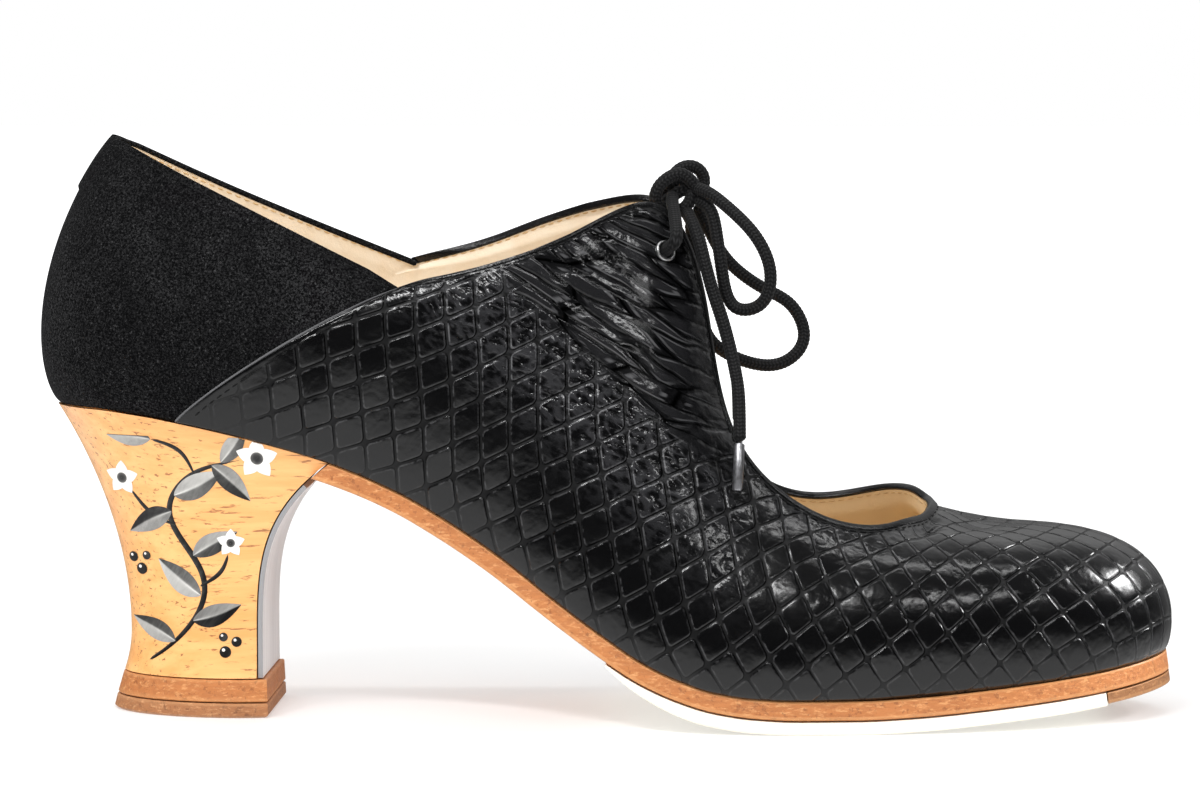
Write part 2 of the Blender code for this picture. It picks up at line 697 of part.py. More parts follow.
def make_lace():
    """A bar from eyelet to eyelet over the gap, the knot round it, and the loops and ends of the bow."""
    start, out_start = eyelet_place(-1)
    end, out_end = eyelet_place(1)
    clear = EYELET_RIM + EYELET_DOME + WIDE_GAP
    knot = np.array(KNOT_AT)
    bar = (
        start + out_start * clear,
        start + out_start * (clear + BAR_REACH) + BAR_LIFT,
        knot + (0, -8.6, -0.8),
        knot + (0, -4.0, -0.2),
        knot + (0, 4.0, -0.2),
        knot + (0, 10.8, -0.8),
        end + out_end * (clear + BAR_REACH) + BAR_LIFT,
        end + out_end * clear,
    )
    add_tube("lace_bar", bar, CORD, "lace_black")
    bpy.ops.mesh.primitive_torus_add(
        major_segments=20,
        minor_segments=10,
        major_radius=(CORD + 2 * GAP) * MM,
        minor_radius=CORD / 2 * MM,
        location=metres(KNOT_AT),
        rotation=(np.pi / 2, 0, 0),
    )
    ring = bpy.context.object
    ring.name = "lace_knot"
    for home in ring.users_collection:
        home.objects.unlink(ring)
    dress(ring, "lace_black")
    for name, route in LACE_ROUTES.items():
        add_tube(name, route, CORD, "lace_black")
    for side, drop in AGLET_DROP.items():
        tip = np.array(LACE_ROUTES[f"lace_end_{side}"][-1], float)
        drop = np.array(drop) / np.linalg.norm(drop)
        route = (tip + drop * 2 * GAP, tip + drop * (2 * GAP + AGLET_LENGTH))
        add_tube(f"aglet_{side}", route, AGLET, "gunmetal")


for leftover in list(bpy.data.objects):
    bpy.data.objects.remove(leftover)
SHOE = bpy.data.collections.new(NAME)
CUTTERS = bpy.data.collections.new("cutters")
for collection in (SHOE, CUTTERS):
    bpy.context.scene.collection.children.link(collection)
FINISHES = {
    row[0]: make_finish(*row)
    for row in (
        ("embossed_black", (0.012, 0.012, 0.013), 0.35),
        ("lining_leather", (0.80, 0.60, 0.38), 0.6),
        ("sole_leather", (0.46, 0.18, 0.06), 0.5),
        ("white_rubber", (0.9, 0.88, 0.82), 0.6),
        ("heel_wood", (0.80, 0.45, 0.16), 0.4),
        ("breast_grey", (0.55, 0.56, 0.57), 0.4),
        ("lift_base", (0.36, 0.17, 0.07), 0.6),
        ("nickel", (0.6, 0.6, 0.6), 0.3, 1.0),
        ("gunmetal", (0.16, 0.16, 0.17), 0.25, 1.0),
        ("lace_black", (0.012, 0.012, 0.012), 0.7),
    )
}
make_eyelets(make_upper())
make_insole()
make_outsole()
make_half_sole()
make_heel()
make_breast_cover()
make_lifts()
make_lace()
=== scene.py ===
"""Looks of a right flamenco shoe: camera and light, lace, upper, sole and heel, and their finishes.

Shapes are worked out in millimetres from the shoe's own sizes, each as a function of two parameters on
a grid or as a profile carried along a path, and are turned to metres as each mesh is made. +X runs to
the toe, -Y is the outer side of the foot and the floor is Z = 0.
"""

from collections import namedtuple
from operator import attrgetter

import bmesh
import bpy
import numpy as np
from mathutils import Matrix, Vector


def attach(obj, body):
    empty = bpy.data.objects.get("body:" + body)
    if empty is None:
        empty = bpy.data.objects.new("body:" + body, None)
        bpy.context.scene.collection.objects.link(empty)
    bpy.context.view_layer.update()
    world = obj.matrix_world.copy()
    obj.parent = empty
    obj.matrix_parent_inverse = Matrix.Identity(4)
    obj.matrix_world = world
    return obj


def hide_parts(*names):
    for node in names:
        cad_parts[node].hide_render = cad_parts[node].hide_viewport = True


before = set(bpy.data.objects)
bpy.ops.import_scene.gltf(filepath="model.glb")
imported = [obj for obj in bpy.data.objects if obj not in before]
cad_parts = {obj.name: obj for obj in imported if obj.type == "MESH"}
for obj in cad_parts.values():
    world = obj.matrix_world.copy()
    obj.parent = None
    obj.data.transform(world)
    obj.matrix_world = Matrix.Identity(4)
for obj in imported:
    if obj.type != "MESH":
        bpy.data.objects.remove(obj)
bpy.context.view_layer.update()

MM = 0.001
BODY = "root"

# Driving sizes of the shoe
LENGTH = 242.0
BALL_OUT = 37.2
BALL_IN = 38.0
HEEL_HEIGHT = 65.9
BACK_HEIGHT = 123.3
FLAP_HEIGHT = 109.0
CENTRE = (0.167, 0.116)
GAP = 0.3
WIDE_GAP = 0.45

# Camera, read off the photograph: distance, lens and the point that it looks at
CAMERA_DISTANCE = 1000.0
CAMERA_RISE = np.radians(4.54)
CAMERA_YAW = np.radians(2.5)
CAMERA_LENS = 140.0
CAMERA_TARGET = (-1.10, 0.0, 66.64)

# Upper
WALL = 1.8
PANEL_LAP = 0.9
TAB_LAP = 0.6
TAB_REACH = 0.55
TAB_FROM = 0.8
ROUNDING = 0.7
FLARE_FROM = 0.78
NUDGE = 0.004

# Sole, insole and half sole
SOLE_THICK = 4.1
SOLE_PROUD = 1.0
RUBBER_THICK = 2.8
RUBBER_BACK = 4.0
RUBBER_FULL = 24.0
RUBBER_FRONT = 105.6
RUBBER_EDGE = 0.4
RUBBER_INSET = 0.1
TOE_PIECE_THICK = 2.4
INSOLE_THICK = 2.0
INSOLE_CLEAR = 1.0
TIP_CLEAR = 0.05
OUTLINE_SAMPLES = 4000
SLOPE_STEP = 0.5

# Heel: the waist is the narrow level above the lift
HEEL_FRONT_TOP = -57.2
HEEL_PROUD = 0.5
LIFT_HEIGHT = 8.1
BASE_HEIGHT = 3.4
BASE_BEVEL = 0.6
WAIST_BACK = -102.3
WAIST_FRONT = -73.4
WAIST_WIDEST = -79.0
WAIST_HALF = 16.6
WAIST_HALF_FRONT = 16.0
WAIST_LEVEL = 0.15
FOOT_FLARE = 0.05
BACK_CURVE = 1.9
BREAST_CURVE = 3.4
ROUND_POWER = 1.9
COVER_THICK = 1.0
COVER_TOP = 0.9
LEVEL_STEP = 0.01
SOLE_TAIL = 0.93
TAIL_FADE = 12.0

# Eyelets and lace
EYELET_STATION = 8.15
EYELET_ROW = 0.93
EYELET_HOLE = 1.6
EYELET_BARREL = 2.0
EYELET_FLANGE = 2.35
CORD = 2.7
AGLET = 2.2
AGLET_LENGTH = 10.0

# Height of the line where the upper meets the sole, along the shoe
SOLE_LINE = (
    (-LENGTH / 2 - 2, HEEL_HEIGHT),
    (-108, HEEL_HEIGHT - 0.1),
    (-97, 64.8), (-87, 63.0), (-72, 59.5), (-57, 55.0), (-42, 48.6), (-32, 42.9), (-21, 35.7),
    (-10, 27.5), (2, 19.1), (10, 14.1), (17, 11.0), (25, 8.6), (33, 7.5), (42, 7.1), (54, 7.1),
    (66, 7.6), (80, 8.7), (94, 10.0), (108, 11.6),
    (LENGTH / 2 + 2, 13.8),
)

# Sections round the upper from the heel to the toe. The foot is where the wall meets the sole and the
# edge is its free top: collar, flap and keyhole. Out is the outer half of the shoe, in the inner half.
# Shift and rise move the inner edge along the shoe and up, belly and crown bow the wall outwards and
# upwards, most of all at peak, and flare turns the edge up.
Section = namedtuple(
    "Section",
    "name foot_x foot_out foot_in edge_x edge_out edge_in edge_z shift rise belly crown peak flare",
)
SECTIONS = [
    Section(*row)
    for row in (
        ("heel_back", 3.9 - LENGTH / 2, 0, 0, -104.8, 0, 0, BACK_HEIGHT, 0, 0, 8.3, 0.5, 0.45, 0),
        ("heel_round", -110.5, 15.6, 15.6, -99, 13.0, 13.0, 120.7, 0, -0.9, 7.8, 0.5, 0.45, 0),
        ("heel_side", -100, 22.6, 22.6, -78, 22.0, 22.2, 110.7, 0, -1.0, 6.6, 0.5, 0.45, 0),
        ("panel_edge", -88.9, 25.1, 25.0, -39.2, 26.0, 27.0, 91.6, -3.0, 3.3, 5.0, 2.8, 0.5, 0),
        ("quarter", -71, 25.3, 24.4, -27.5, 25.2, 24.8, 95.9, -1.0, 3.0, 5.5, 1.5, 0.5, 0),
        ("waist_back", -54, 24.0, 21.2, -14.5, 22.8, 21.5, 100.9, 0, 3.4, 7.0, 0, 0.5, 0),
        ("waist", -36, 24.3, 18.4, -2.5, 18.0, 17.5, 106.0, 0, 1.6, 9.0, 0, 0.5, 0),
        ("shank", -18, 26.8, 19.2, 6.5, 12.8, 12.8, FLAP_HEIGHT, 0, 0.2, 10.0, 0, 0.5, 0),
        ("flap_corner", -4, 31.0, 24.0, 14.2, 9.6, 9.6, 106.0, -0.8, 0.3, 10.5, 0, 0.5, 0),
        ("flap_front", 7, 34.0, 28.6, 19.6, 9.0, 9.0, 94.0, -1.4, 0, 10.5, 0, 0.5, 0),
        ("flap_low", 16.5, 35.9, 32.7, 22.4, 9.4, 9.6, 78.5, -1.6, -1.5, 10.5, 0, 0.48, 0),
        ("flap_foot", 26, 36.9, 35.6, 25.7, 12.8, 12.8, 64.2, -1.6, -4.0, 10.0, 0, 0.45, 0),
        ("keyhole_top", 38.5, BALL_OUT, BALL_IN - 0.3, 33.2, 18.7, 18.7, 52.3, 0, -4.6, 8.6, 1.5, 0.42, 0),
        ("keyhole_side", 53.5, 35.8, BALL_IN, 46.5, 22.4, 22.0, 43.5, 0, 0.4, 7.8, 3.6, 0.4, 0),
        ("vamp_side", 72, 33.0, 35.8, 59.5, 19.6, 18.6, 41.6, 0, 4.6, 7.6, 7.2, 0.38, 0.6),
        ("toe_side", 93, 26.6, 29.6, 66.4, 9.8, 11.0, 44.3, 0, 2.4, 7.8, 10.6, 0.36, 3.0),
        ("toe_corner", 110.8, 15.4, 19.6, 68.8, 3.0, 7.0, 46.0, 0, 0.6, 8.2, 12.4, 0.34, 5.6),
        ("toe_tip", LENGTH / 2 - 1.6, -3, 3, 69.3, -2.2, 2.2, 46.5, 0, 0, 8.6, 13.0, 0.34, 6.4),
    )
]
TOE = len(SECTIONS) - 1
AROUND = 2 * TOE
PANEL_AT = [row.name for row in SECTIONS].index("panel_edge")
# A narrow inner waist makes the wall over it swell by this share of the difference
INNER_SWELL = 0.6

# Routes of the lace as x, y and z, each from the knot outwards
LACE_ROUTES = {
    "lace_loop_lateral": (
        (19.4, -3.6, 112.2), (22.8, -7.6, 111.0), (27.5, -11.2, 107.4), (32.0, -13.8, 102.8),
        (35.0, -15.0, 97.0), (35.2, -14.8, 91.4), (32.8, -13.8, 87.7), (28.8, -12.2, 87.0),
        (26.2, -11.0, 90.0), (25.0, -10.4, 96.0), (24.0, -8.8, 102.5), (22.6, -6.4, 107.6),
        (19.7, -3.4, 109.6),
    ),
    "lace_loop_medial": (
        (19.7, 0.8, 108.7), (22.4, 2.8, 102.6), (26.5, 4.5, 96.0), (33.5, 5.6, 90.6), (39.5, 6.0, 87.0),
        (42.5, 5.2, 81.0), (40.5, 3.6, 76.2), (35.3, 2.0, 74.1), (28.5, 0.4, 75.6), (23.0, -0.4, 79.2),
        (20.4, -0.2, 85.0), (19.2, -0.6, 93.0), (18.8, -1.2, 100.0), (18.2, -1.5, 105.0),
    ),
    "lace_end_lateral": (
        (17.1, -3.5, 107.4), (18.7, -8.8, 105.2), (20.8, -12.8, 99.8), (23.1, -14.8, 91.7),
        (25.7, -16.4, 84.0), (28.1, -19.6, 74.6), (29.0, -22.4, 68.4), (29.2, -26.0, 60.2),
    ),
    "lace_end_medial": (
        (17.0, 0.3, 107.4), (18.2, 5.6, 105.6), (19.8, 11.4, 101.0), (22.0, 15.0, 91.5),
        (24.6, 17.4, 83.0), (27.0, 20.6, 74.0), (28.0, 23.4, 68.0), (28.2, 27.0, 60.0),
    ),
}
AGLET_DROP = {"lateral": (-0.4, -2.4, -9.4), "medial": (-0.4, 2.4, -9.4)}


def natural_spline(values, at):
    """Values at the whole numbers 0, 1, 2... joined by the cubic spline with no bend at its two ends."""
    values = np.asarray(values, float)
    count = len(values)
    bends = np.eye(count)
    right = np.zeros_like(values)
    for i in range(1, count - 1):
        bends[i, i - 1 : i + 2] = (1, 4, 1)
        right[i] = 6 * (values[i - 1] - 2 * values[i] + values[i + 1])
    bend = np.linalg.solve(bends, right)
    at = np.atleast_1d(np.asarray(at, float))
    low = np.clip(np.floor(at).astype(int), 0, count - 2)
    ahead = at - low
    behind = 1 - ahead
    if values.ndim > 1:
        ahead, behind = ahead[:, None], behind[:, None]
    return (
        behind * values[low]
        + ahead * values[low + 1]
        + (behind**3 - behind) * bend[low] / 6
        + (ahead**3 - ahead) * bend[low + 1] / 6
    )


def run_length(points, axis=0):
    """Length along lines of points from their first one, on a path or on a grid."""
    steps = np.linalg.norm(np.diff(points, axis=axis), axis=-1)
    return np.insert(np.cumsum(steps, axis=axis), 0, 0.0, axis=axis)


def read_along(at, length, points):
    """Points of a path at given lengths along it."""
    return np.stack([np.interp(at, length, points[:, k]) for k in range(3)], axis=1)


def curve_through(points, at):
    """A smooth curve through points with uneven steps: at runs from 0 to 1 along their chords."""
    points = np.asarray(points, float)
    chords = run_length(points)
    return natural_spline(points, np.interp(at, chords / chords[-1], np.arange(len(points))))


def monotone(table, x):
    """A table of (x, value) joined by cubics that never overshoot it."""
    knots, values = np.asarray(table, float).T
    steps = np.diff(knots)
    slopes = np.diff(values) / steps
    tangents = np.concatenate([slopes[:1], slopes[1:], slopes[-1:]])
    for i in range(1, len(slopes)):
        turn = slopes[i - 1] * slopes[i]
        before, after = 2 * steps[i] + steps[i - 1], steps[i] + 2 * steps[i - 1]
        tangents[i] = (before + after) / (before / slopes[i - 1] + after / slopes[i]) if turn > 0 else 0.0
    x = np.clip(x, knots[0], knots[-1])
    low = np.clip(np.searchsorted(knots, x) - 1, 0, len(steps) - 1)
    u = (x - knots[low]) / steps[low]
    return (
        values[low] * (1 + 2 * u) * (1 - u) ** 2
        + values[low + 1] * u * u * (3 - 2 * u)
        + steps[low] * (tangents[low] * u * (1 - u) ** 2 - tangents[low + 1] * u * u * (1 - u))
    )


def sole_line(x):
    """Height of the sole line at places along the shoe."""
    return monotone(SOLE_LINE, np.asarray(x, float))


def sole_slope(x):
    """Slope of the sole line, from its heights a step behind and a step ahead."""
    return (sole_line(x + SLOPE_STEP) - sole_line(x - SLOPE_STEP)) / (2 * SLOPE_STEP)


def round_trip(outer, inner):
    """One value for each station round the shoe: heel to toe on the outer side, then back on the inner."""
    return np.array([outer(row) for row in SECTIONS] + [inner(row) for row in SECTIONS[-2:0:-1]], float)


def wrapped(values, at, margin=6):
    """The closed spline through the stations, by running the open one on past both ends."""
    padded = np.concatenate([values[-margin:], values, values[:margin]])
    return natural_spline(padded, np.mod(at, AROUND) + margin)


FOOT = round_trip(lambda row: (row.foot_x, -row.foot_out), lambda row: (row.foot_x, row.foot_in))
EDGE = round_trip(
    lambda row: (row.edge_x, -row.edge_out, row.edge_z - row.flare),
    lambda row: (row.edge_x + row.shift, row.edge_in, row.edge_z + row.rise - row.flare),
)
BELLY = round_trip(
    lambda row: row.belly, lambda row: row.belly + INNER_SWELL * (row.foot_out - row.foot_in)
)
CROWN, PEAK, FLARE = (round_trip(field, field) for field in map(attrgetter, ("crown", "peak", "flare")))


def foot_line(at):
    """The closed line where the upper meets the sole, seen from above."""
    return wrapped(FOOT, at)


def foot_normal(at):
    """Level direction out of the shoe, on the right of the line from heel to toe along the outer side."""
    ahead = foot_line(at + NUDGE) - foot_line(at - NUDGE)
    normal = np.stack([ahead[:, 1], -ahead[:, 0]], axis=1)
    return unit(normal)


def free_edge(at):
    """The collar's back and the panel's own edge are two splines that meet at sharp notches."""
    at = np.mod(at, AROUND)
    back = np.concatenate([EDGE[-PANEL_AT:], EDGE[: PANEL_AT + 1]])
    front = EDGE[PANEL_AT : AROUND - PANEL_AT + 1]
    on_back = (at < PANEL_AT) | (at > AROUND - PANEL_AT)
    from_notch = np.where(at > AROUND / 2, at - AROUND, at) + PANEL_AT
    return np.where(
        on_back[:, None],
        natural_spline(back, np.clip(from_notch, 0, 2 * PANEL_AT)),
        natural_spline(front, np.clip(at - PANEL_AT, 0, len(front) - 1)),
    )


def bow(share, peak):
    """Rises from 0 to 1 at peak and falls to 0 again, steep at the start."""
    fall = ROUNDING * (1 - peak) / peak
    most = peak**ROUNDING * (1 - peak) ** fall
    return share**ROUNDING * (1 - share) ** fall / most


# How far the leather's rim lies below the solid's, by place along the shoe, on the outer and the inner side
TRIM_X = (-106, -104, -101.5, -85, -55, -48, -42, -37, -30, -24, -12, -5, 1, 7, 10)
TRIM_OUT = (0.5, 0.25, 0, 0.3, 0.5, 0.5, 1.6, 2.4, 3.0, 3.2, 3.2, 2.6, 1.4, 0.3, 0)
TRIM_IN = (0.5, 0.25, 0, 0, 0, 0, 0.3, 0.8, 0.9, 0.9, 0.4, 0, 0, 0, 0)
TRIM_REACH = 66.0
# The lip at the keyhole's front lies below the solid's: where, over what length and by how much, on the
# outer and the inner side
LIP_OUT = (68.4, 3.4, 2.3)
LIP_IN = (70.0, 2.8, 1.9)
# Share of the wall where the lip starts to drop, and over which it reaches its full drop
LIP_FROM, LIP_OVER = 0.8, 0.12
# Places across the shoe between which the outer side changes into the inner one
LIP_ACROSS = (-4.0, 6.0)


def lip_drop(x, y):
    """A bell over the length of the shoe, changing from the outer to the inner side."""
    outer, inner = (most * np.exp(-(((x - at) / wide) ** 2)) for at, wide, most in (LIP_OUT, LIP_IN))
    share = np.interp(y, LIP_ACROSS, (0, 1))
    return outer * (1 - share) + inner * share


def rim_share(at):
    """Share of the solid's wall that the leather covers: 1 less the trim at its place."""
    x = free_edge(at)[:, 0]
    outer = np.mod(at, AROUND) < TOE
    return 1 - np.where(outer, np.interp(x, TRIM_X, TRIM_OUT), np.interp(x, TRIM_X, TRIM_IN)) / TRIM_REACH


def wall_point(at, share):
    """The upper's surface: the chord from foot to edge, bowed outwards and up, with its edge flared."""
    share = share * rim_share(at)
    foot = foot_line(at)
    start = np.column_stack([foot, sole_line(foot[:, 0]) + GAP])
    chord = free_edge(at) - start
    swell = bow(share, wrapped(PEAK, at))
    lip = np.clip((share - FLARE_FROM) / (1 - FLARE_FROM), 0, 1) ** 2
    point = start + chord * share[:, None]
    point[:, :2] += foot_normal(at) * (wrapped(BELLY, at) * swell)[:, None]
    point[:, 2] += wrapped(CROWN, at) * swell + wrapped(FLARE, at) * lip
    point[:, 2] -= lip_drop(point[:, 0], point[:, 1]) * np.clip((share - LIP_FROM) / LIP_OVER, 0, 1)
    return point


def wall_normal(at, share):
    """Direction out of the wall, and level at its foot so that the rim lies flat on the sole."""
    low, high = np.clip(share - NUDGE, 0, 1), np.clip(share + NUDGE, 0, 1)
    along = wall_point(at + NUDGE, share) - wall_point(at - NUDGE, share)
    up = wall_point(at, high) - wall_point(at, low)
    normal = unit(np.cross(along, up))
    level = np.column_stack([foot_normal(at), np.zeros(len(at))])
    return np.where((share < NUDGE)[:, None], level, normal)


def metres(points):
    """Millimetres of the shoe as metres of the frame, whose origin lies at CENTRE."""
    points = np.array(points, float)
    points[..., 0] -= CENTRE[0]
    points[..., 1] -= CENTRE[1]
    return points * MM


def unit(vectors):
    """Vectors divided by their lengths."""
    return vectors / np.linalg.norm(vectors, axis=-1, keepdims=True)


def ease(value, low, high):
    """0 up to low, 1 from high on, and an S between them."""
    t = np.clip((value - low) / (high - low), 0, 1)
    return t * t * (3 - 2 * t)


def quads(rows, columns, wrap_rows=False, wrap_columns=False):
    """Faces of a grid numbered row by row; a wrapped direction runs on from its last line to its first."""
    number = np.arange(rows * columns).reshape(rows, columns)
    if wrap_rows:
        number = np.vstack([number, number[:1]])
    if wrap_columns:
        number = np.hstack([number, number[:, :1]])
    return np.stack([number[:-1, :-1], number[:-1, 1:], number[1:, 1:], number[1:, :-1]], -1).reshape(-1, 4)


def put(
    name,
    points,
    faces,
    material,
    slot,
    stands_for=(),
    caps=(),
    maps=None,
    values=None,
    closed=True,
    sharp=0.7,
):
    """Makes a piece of the shoe from points in millimetres and faces, with UV maps and values per point."""
    mesh = bpy.data.meshes.new(name)
    places = metres(np.reshape(points, (-1, 3))).tolist()
    mesh.from_pydata(places, [], faces.tolist() + [list(cap) for cap in caps])
    corner = np.empty(len(mesh.loops), np.int32)
    mesh.loops.foreach_get("vertex_index", corner)
    for label, grid in (maps or {}).items():
        layer = mesh.uv_layers.new(name=label)
        layer.uv.foreach_set("vector", np.reshape(grid, (-1, 2))[corner].astype(np.float32).ravel())
    for label, grid in (values or {}).items():
        layer = mesh.attributes.new(label, "FLOAT", "POINT")
        layer.data.foreach_set("value", np.ravel(grid).astype(np.float32))
    if closed:
        shape = bmesh.new()
        shape.from_mesh(mesh)
        bmesh.ops.recalc_face_normals(shape, faces=shape.faces)
        shape.to_mesh(mesh)
        shape.free()
    mesh.shade_smooth()
    if sharp:
        mesh.set_sharp_from_angle(angle=sharp)
    mesh.materials.append(material)
    piece = bpy.data.objects.new(name, mesh)
    bpy.context.scene.collection.objects.link(piece)
    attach(piece, BODY)
    if stands_for:
        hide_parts(*stands_for)
    return piece


def end_caps(rings, count):
    """The two faces that close a stack of rings at its first and its last."""
    last = (rings - 1) * count
    return [range(count), range(last, last + count)]


def put_rings(name, rings, material, slot, stands_for, **more):
    """A closed piece from a stack of rings."""
    rows, count = rings.shape[:2]
    faces = quads(rows, count, wrap_columns=True)
    put(name, rings, faces, material, slot, stands_for, end_caps(rows, count), **more)


def put_section(name, near, far, pale, material, slot):
    """A closed piece from the near and the far half of its section, each as lines along the shoe, and how
    pale each line is."""
    rings = np.transpose(np.array(near + far[::-1]), (2, 0, 1))
    edge = np.tile(pale + pale[::-1], len(rings))
    put_rings(f"{name}_finished", rings, material, slot, [name], values={"edge": edge}, sharp=0.5)


# Shader nodes


class Signal:
    """An output of a shader node. Sums, products and the like of signals are further nodes."""

    def __init__(self, socket):
        self.socket = socket
        self.tree = socket.id_data

    def __add__(self, other):
        return calc("ADD", self, other)

    def __radd__(self, other):
        return calc("ADD", other, self)

    def __sub__(self, other):
        return calc("SUBTRACT", self, other)

    def __rsub__(self, other):
        return calc("SUBTRACT", other, self)

    def __mul__(self, other):
        return calc("MULTIPLY", self, other)

    def __truediv__(self, other):
        return calc("DIVIDE", self, other)

    def __abs__(self):
        return calc("ABSOLUTE", self)


class Outputs:
    """The outputs of a node as signals, by name or number."""

    def __init__(self, made):
        self.sockets = made.outputs

    def __getitem__(self, key):
        return Signal(self.sockets[key])


def node(tree, kind, inputs=None, **settings):
    """Adds a node with its settings; inputs maps sockets to values, or to the signals that feed them."""
    made = tree.nodes.new(kind)
    for key, value in settings.items():
        setattr(made, key, value)
    for key, value in (inputs or {}).items():
        if isinstance(value, Signal):
            tree.links.new(value.socket, made.inputs[key])
        else:
            made.inputs[key].default_value = value
    return Outputs(made)


def tree_of(terms):
    """The node tree of the first signal among some terms."""
    return next(term.tree for term in terms if isinstance(term, Signal))


def calc(operation, *terms):
    """One step of arithmetic on signals and numbers."""
    return node(tree_of(terms), "ShaderNodeMath", dict(enumerate(terms)), operation=operation)[0]


def higher(first, second):
    """The higher of two values at each place."""
    return calc("MAXIMUM", first, second)


def split(place):
    """The three parts of a vector."""
    return node(place.tree, "ShaderNodeSeparateXYZ", {0: place})


def joined(x, y, z=0.0):
    """A vector from its three parts."""
    return node(x.tree, "ShaderNodeCombineXYZ", {0: x, 1: y, 2: z})[0]


def blend(share, first, second):
    """Colour that goes from first to second as share goes from 0 to 1."""
    colours = {"Factor": share, 6: first, 7: second}
    return node(share.tree, "ShaderNodeMix", colours, data_type="RGBA")[2]


def span(value, low, high, to_low=0.0, to_high=1.0):
    """Value stretched from low..high to to_low..to_high with smooth ends."""
    terms = {0: value, 1: low, 2: high, 3: to_low, 4: to_high}
    return node(value.tree, "ShaderNodeMapRange", terms, interpolation_type="SMOOTHSTEP")[0]


def placed(source, scale=(1, 1, 1), turn=(0, 0, 0)):
    """A texture place, turned and then stretched."""
    leant = node(source.tree, "ShaderNodeMapping", {"Vector": source, "Rotation": turn})[0]
    return node(source.tree, "ShaderNodeMapping", {"Vector": leant, "Scale": scale})[0]


def noise(place, scale, detail=2.0, roughness=0.5, distortion=0.0):
    """Cloudy noise from 0 to 1."""
    grain = {"Scale": scale, "Detail": detail, "Roughness": roughness, "Distortion": distortion}
    return node(place.tree, "ShaderNodeTexNoise", {"Vector": place, **grain})[0]


def cells(place, scale, feature="F1"):
    """Distance to the nearest of points scattered all over."""
    return node(place.tree, "ShaderNodeTexVoronoi", {"Vector": place, "Scale": scale}, feature=feature)[0]


def here(tree):
    """Object coordinates, in metres."""
    return node(tree, "ShaderNodeTexCoord")["Object"]


def attribute(tree, name):
    """A value that the mesh has at each of its points."""
    return node(tree, "ShaderNodeAttribute", attribute_name=name)["Fac"]


def bump(height, distance, strength=1.0):
    """The normal, tilted by the slope of a height that is in steps of distance."""
    terms = {"Height": height, "Distance": distance, "Strength": strength}
    return node(height.tree, "ShaderNodeBump", terms)[0]


def new_group(name, inputs, outputs):
    """A shader group with its named sockets, the signals it is given and the sockets that it feeds."""
    tree = bpy.data.node_groups.new(name, "ShaderNodeTree")
    for label, kind, value in inputs:
        socket = tree.interface.new_socket(label, in_out="INPUT", socket_type=kind)
        if value is not None:
            socket.default_value = value
    for label in outputs:
        tree.interface.new_socket(label, in_out="OUTPUT", socket_type=FLOAT)
    source = Outputs(tree.nodes.new("NodeGroupInput"))
    return tree, source, tree.nodes.new("NodeGroupOutput").inputs


def use(group, **inputs):
    """A copy of a group in a material, with its own values; returns its outputs."""
    return node(tree_of(inputs.values()), "ShaderNodeGroup", inputs, node_tree=group)


def new_material(name, **settings):
    """A material with one Principled shader, its constant values set on the shader's own sockets."""
    material = bpy.data.materials.new(name)
    material.use_nodes = True
    shader = material.node_tree.nodes["Principled BSDF"]
    for label, value in settings.items():
        shader.inputs[label.replace("_", " ")].default_value = value
    return material, material.node_tree, shader.inputs


def feed(sockets, **signals):
    """Links signals to the sockets with their names."""
    for label, signal in signals.items():
        signal.tree.links.new(signal.socket, sockets[label.replace("_", " ")])


FLOAT, VECTOR = "NodeSocketFloat", "NodeSocketVector"


def leather_grain_group():
    """Pores and pebbles: raised cells of uneven size with fine noise on them."""
    sockets = (("Place", VECTOR, None), ("Scale", FLOAT, 900.0))
    tree, source, result = new_group("leather_grain", sockets, ("Height", "Tone"))
    place, scale = source["Place"], source["Scale"]
    pebble = cells(place, scale, "SMOOTH_F1")
    fine = noise(place, scale * 2.2, 3.0, 0.6)
    feed(result, Height=pebble * -0.7 + fine, Tone=noise(place, scale * 0.12, 3.0, 0.55))
    return tree


def fibre_group():
    """Short pale fibres, as on suede and yarn."""
    sockets = (("Place", VECTOR, None), ("Scale", FLOAT, 1500.0))
    tree, source, result = new_group("fibre", sockets, ("Fleck", "Height"))
    fine = noise(source["Place"], source["Scale"], 3.0, 0.7)
    broad = noise(source["Place"], source["Scale"] * 0.22, 2.0, 0.5)
    feed(result, Fleck=span(fine, 0.56, 0.78), Height=fine + broad)
    return tree


def streak_group():
    """Long thin streaks along the place's first direction, and broad waves of tone beside them."""
    sockets = (("Place", VECTOR, None), ("Scale", FLOAT, 100.0), ("Stretch", FLOAT, 12.0))
    tree, source, result = new_group("streak", sockets, ("Line", "Wave"))
    parts = split(source["Place"])
    place = joined(parts[0] / source["Stretch"], parts[1], parts[2])
    line = noise(place, source["Scale"], 4.0, 0.65, 0.3)
    feed(result, Line=line, Wave=noise(place, source["Scale"] * 0.18, 2.0, 0.5, 0.6))
    return tree


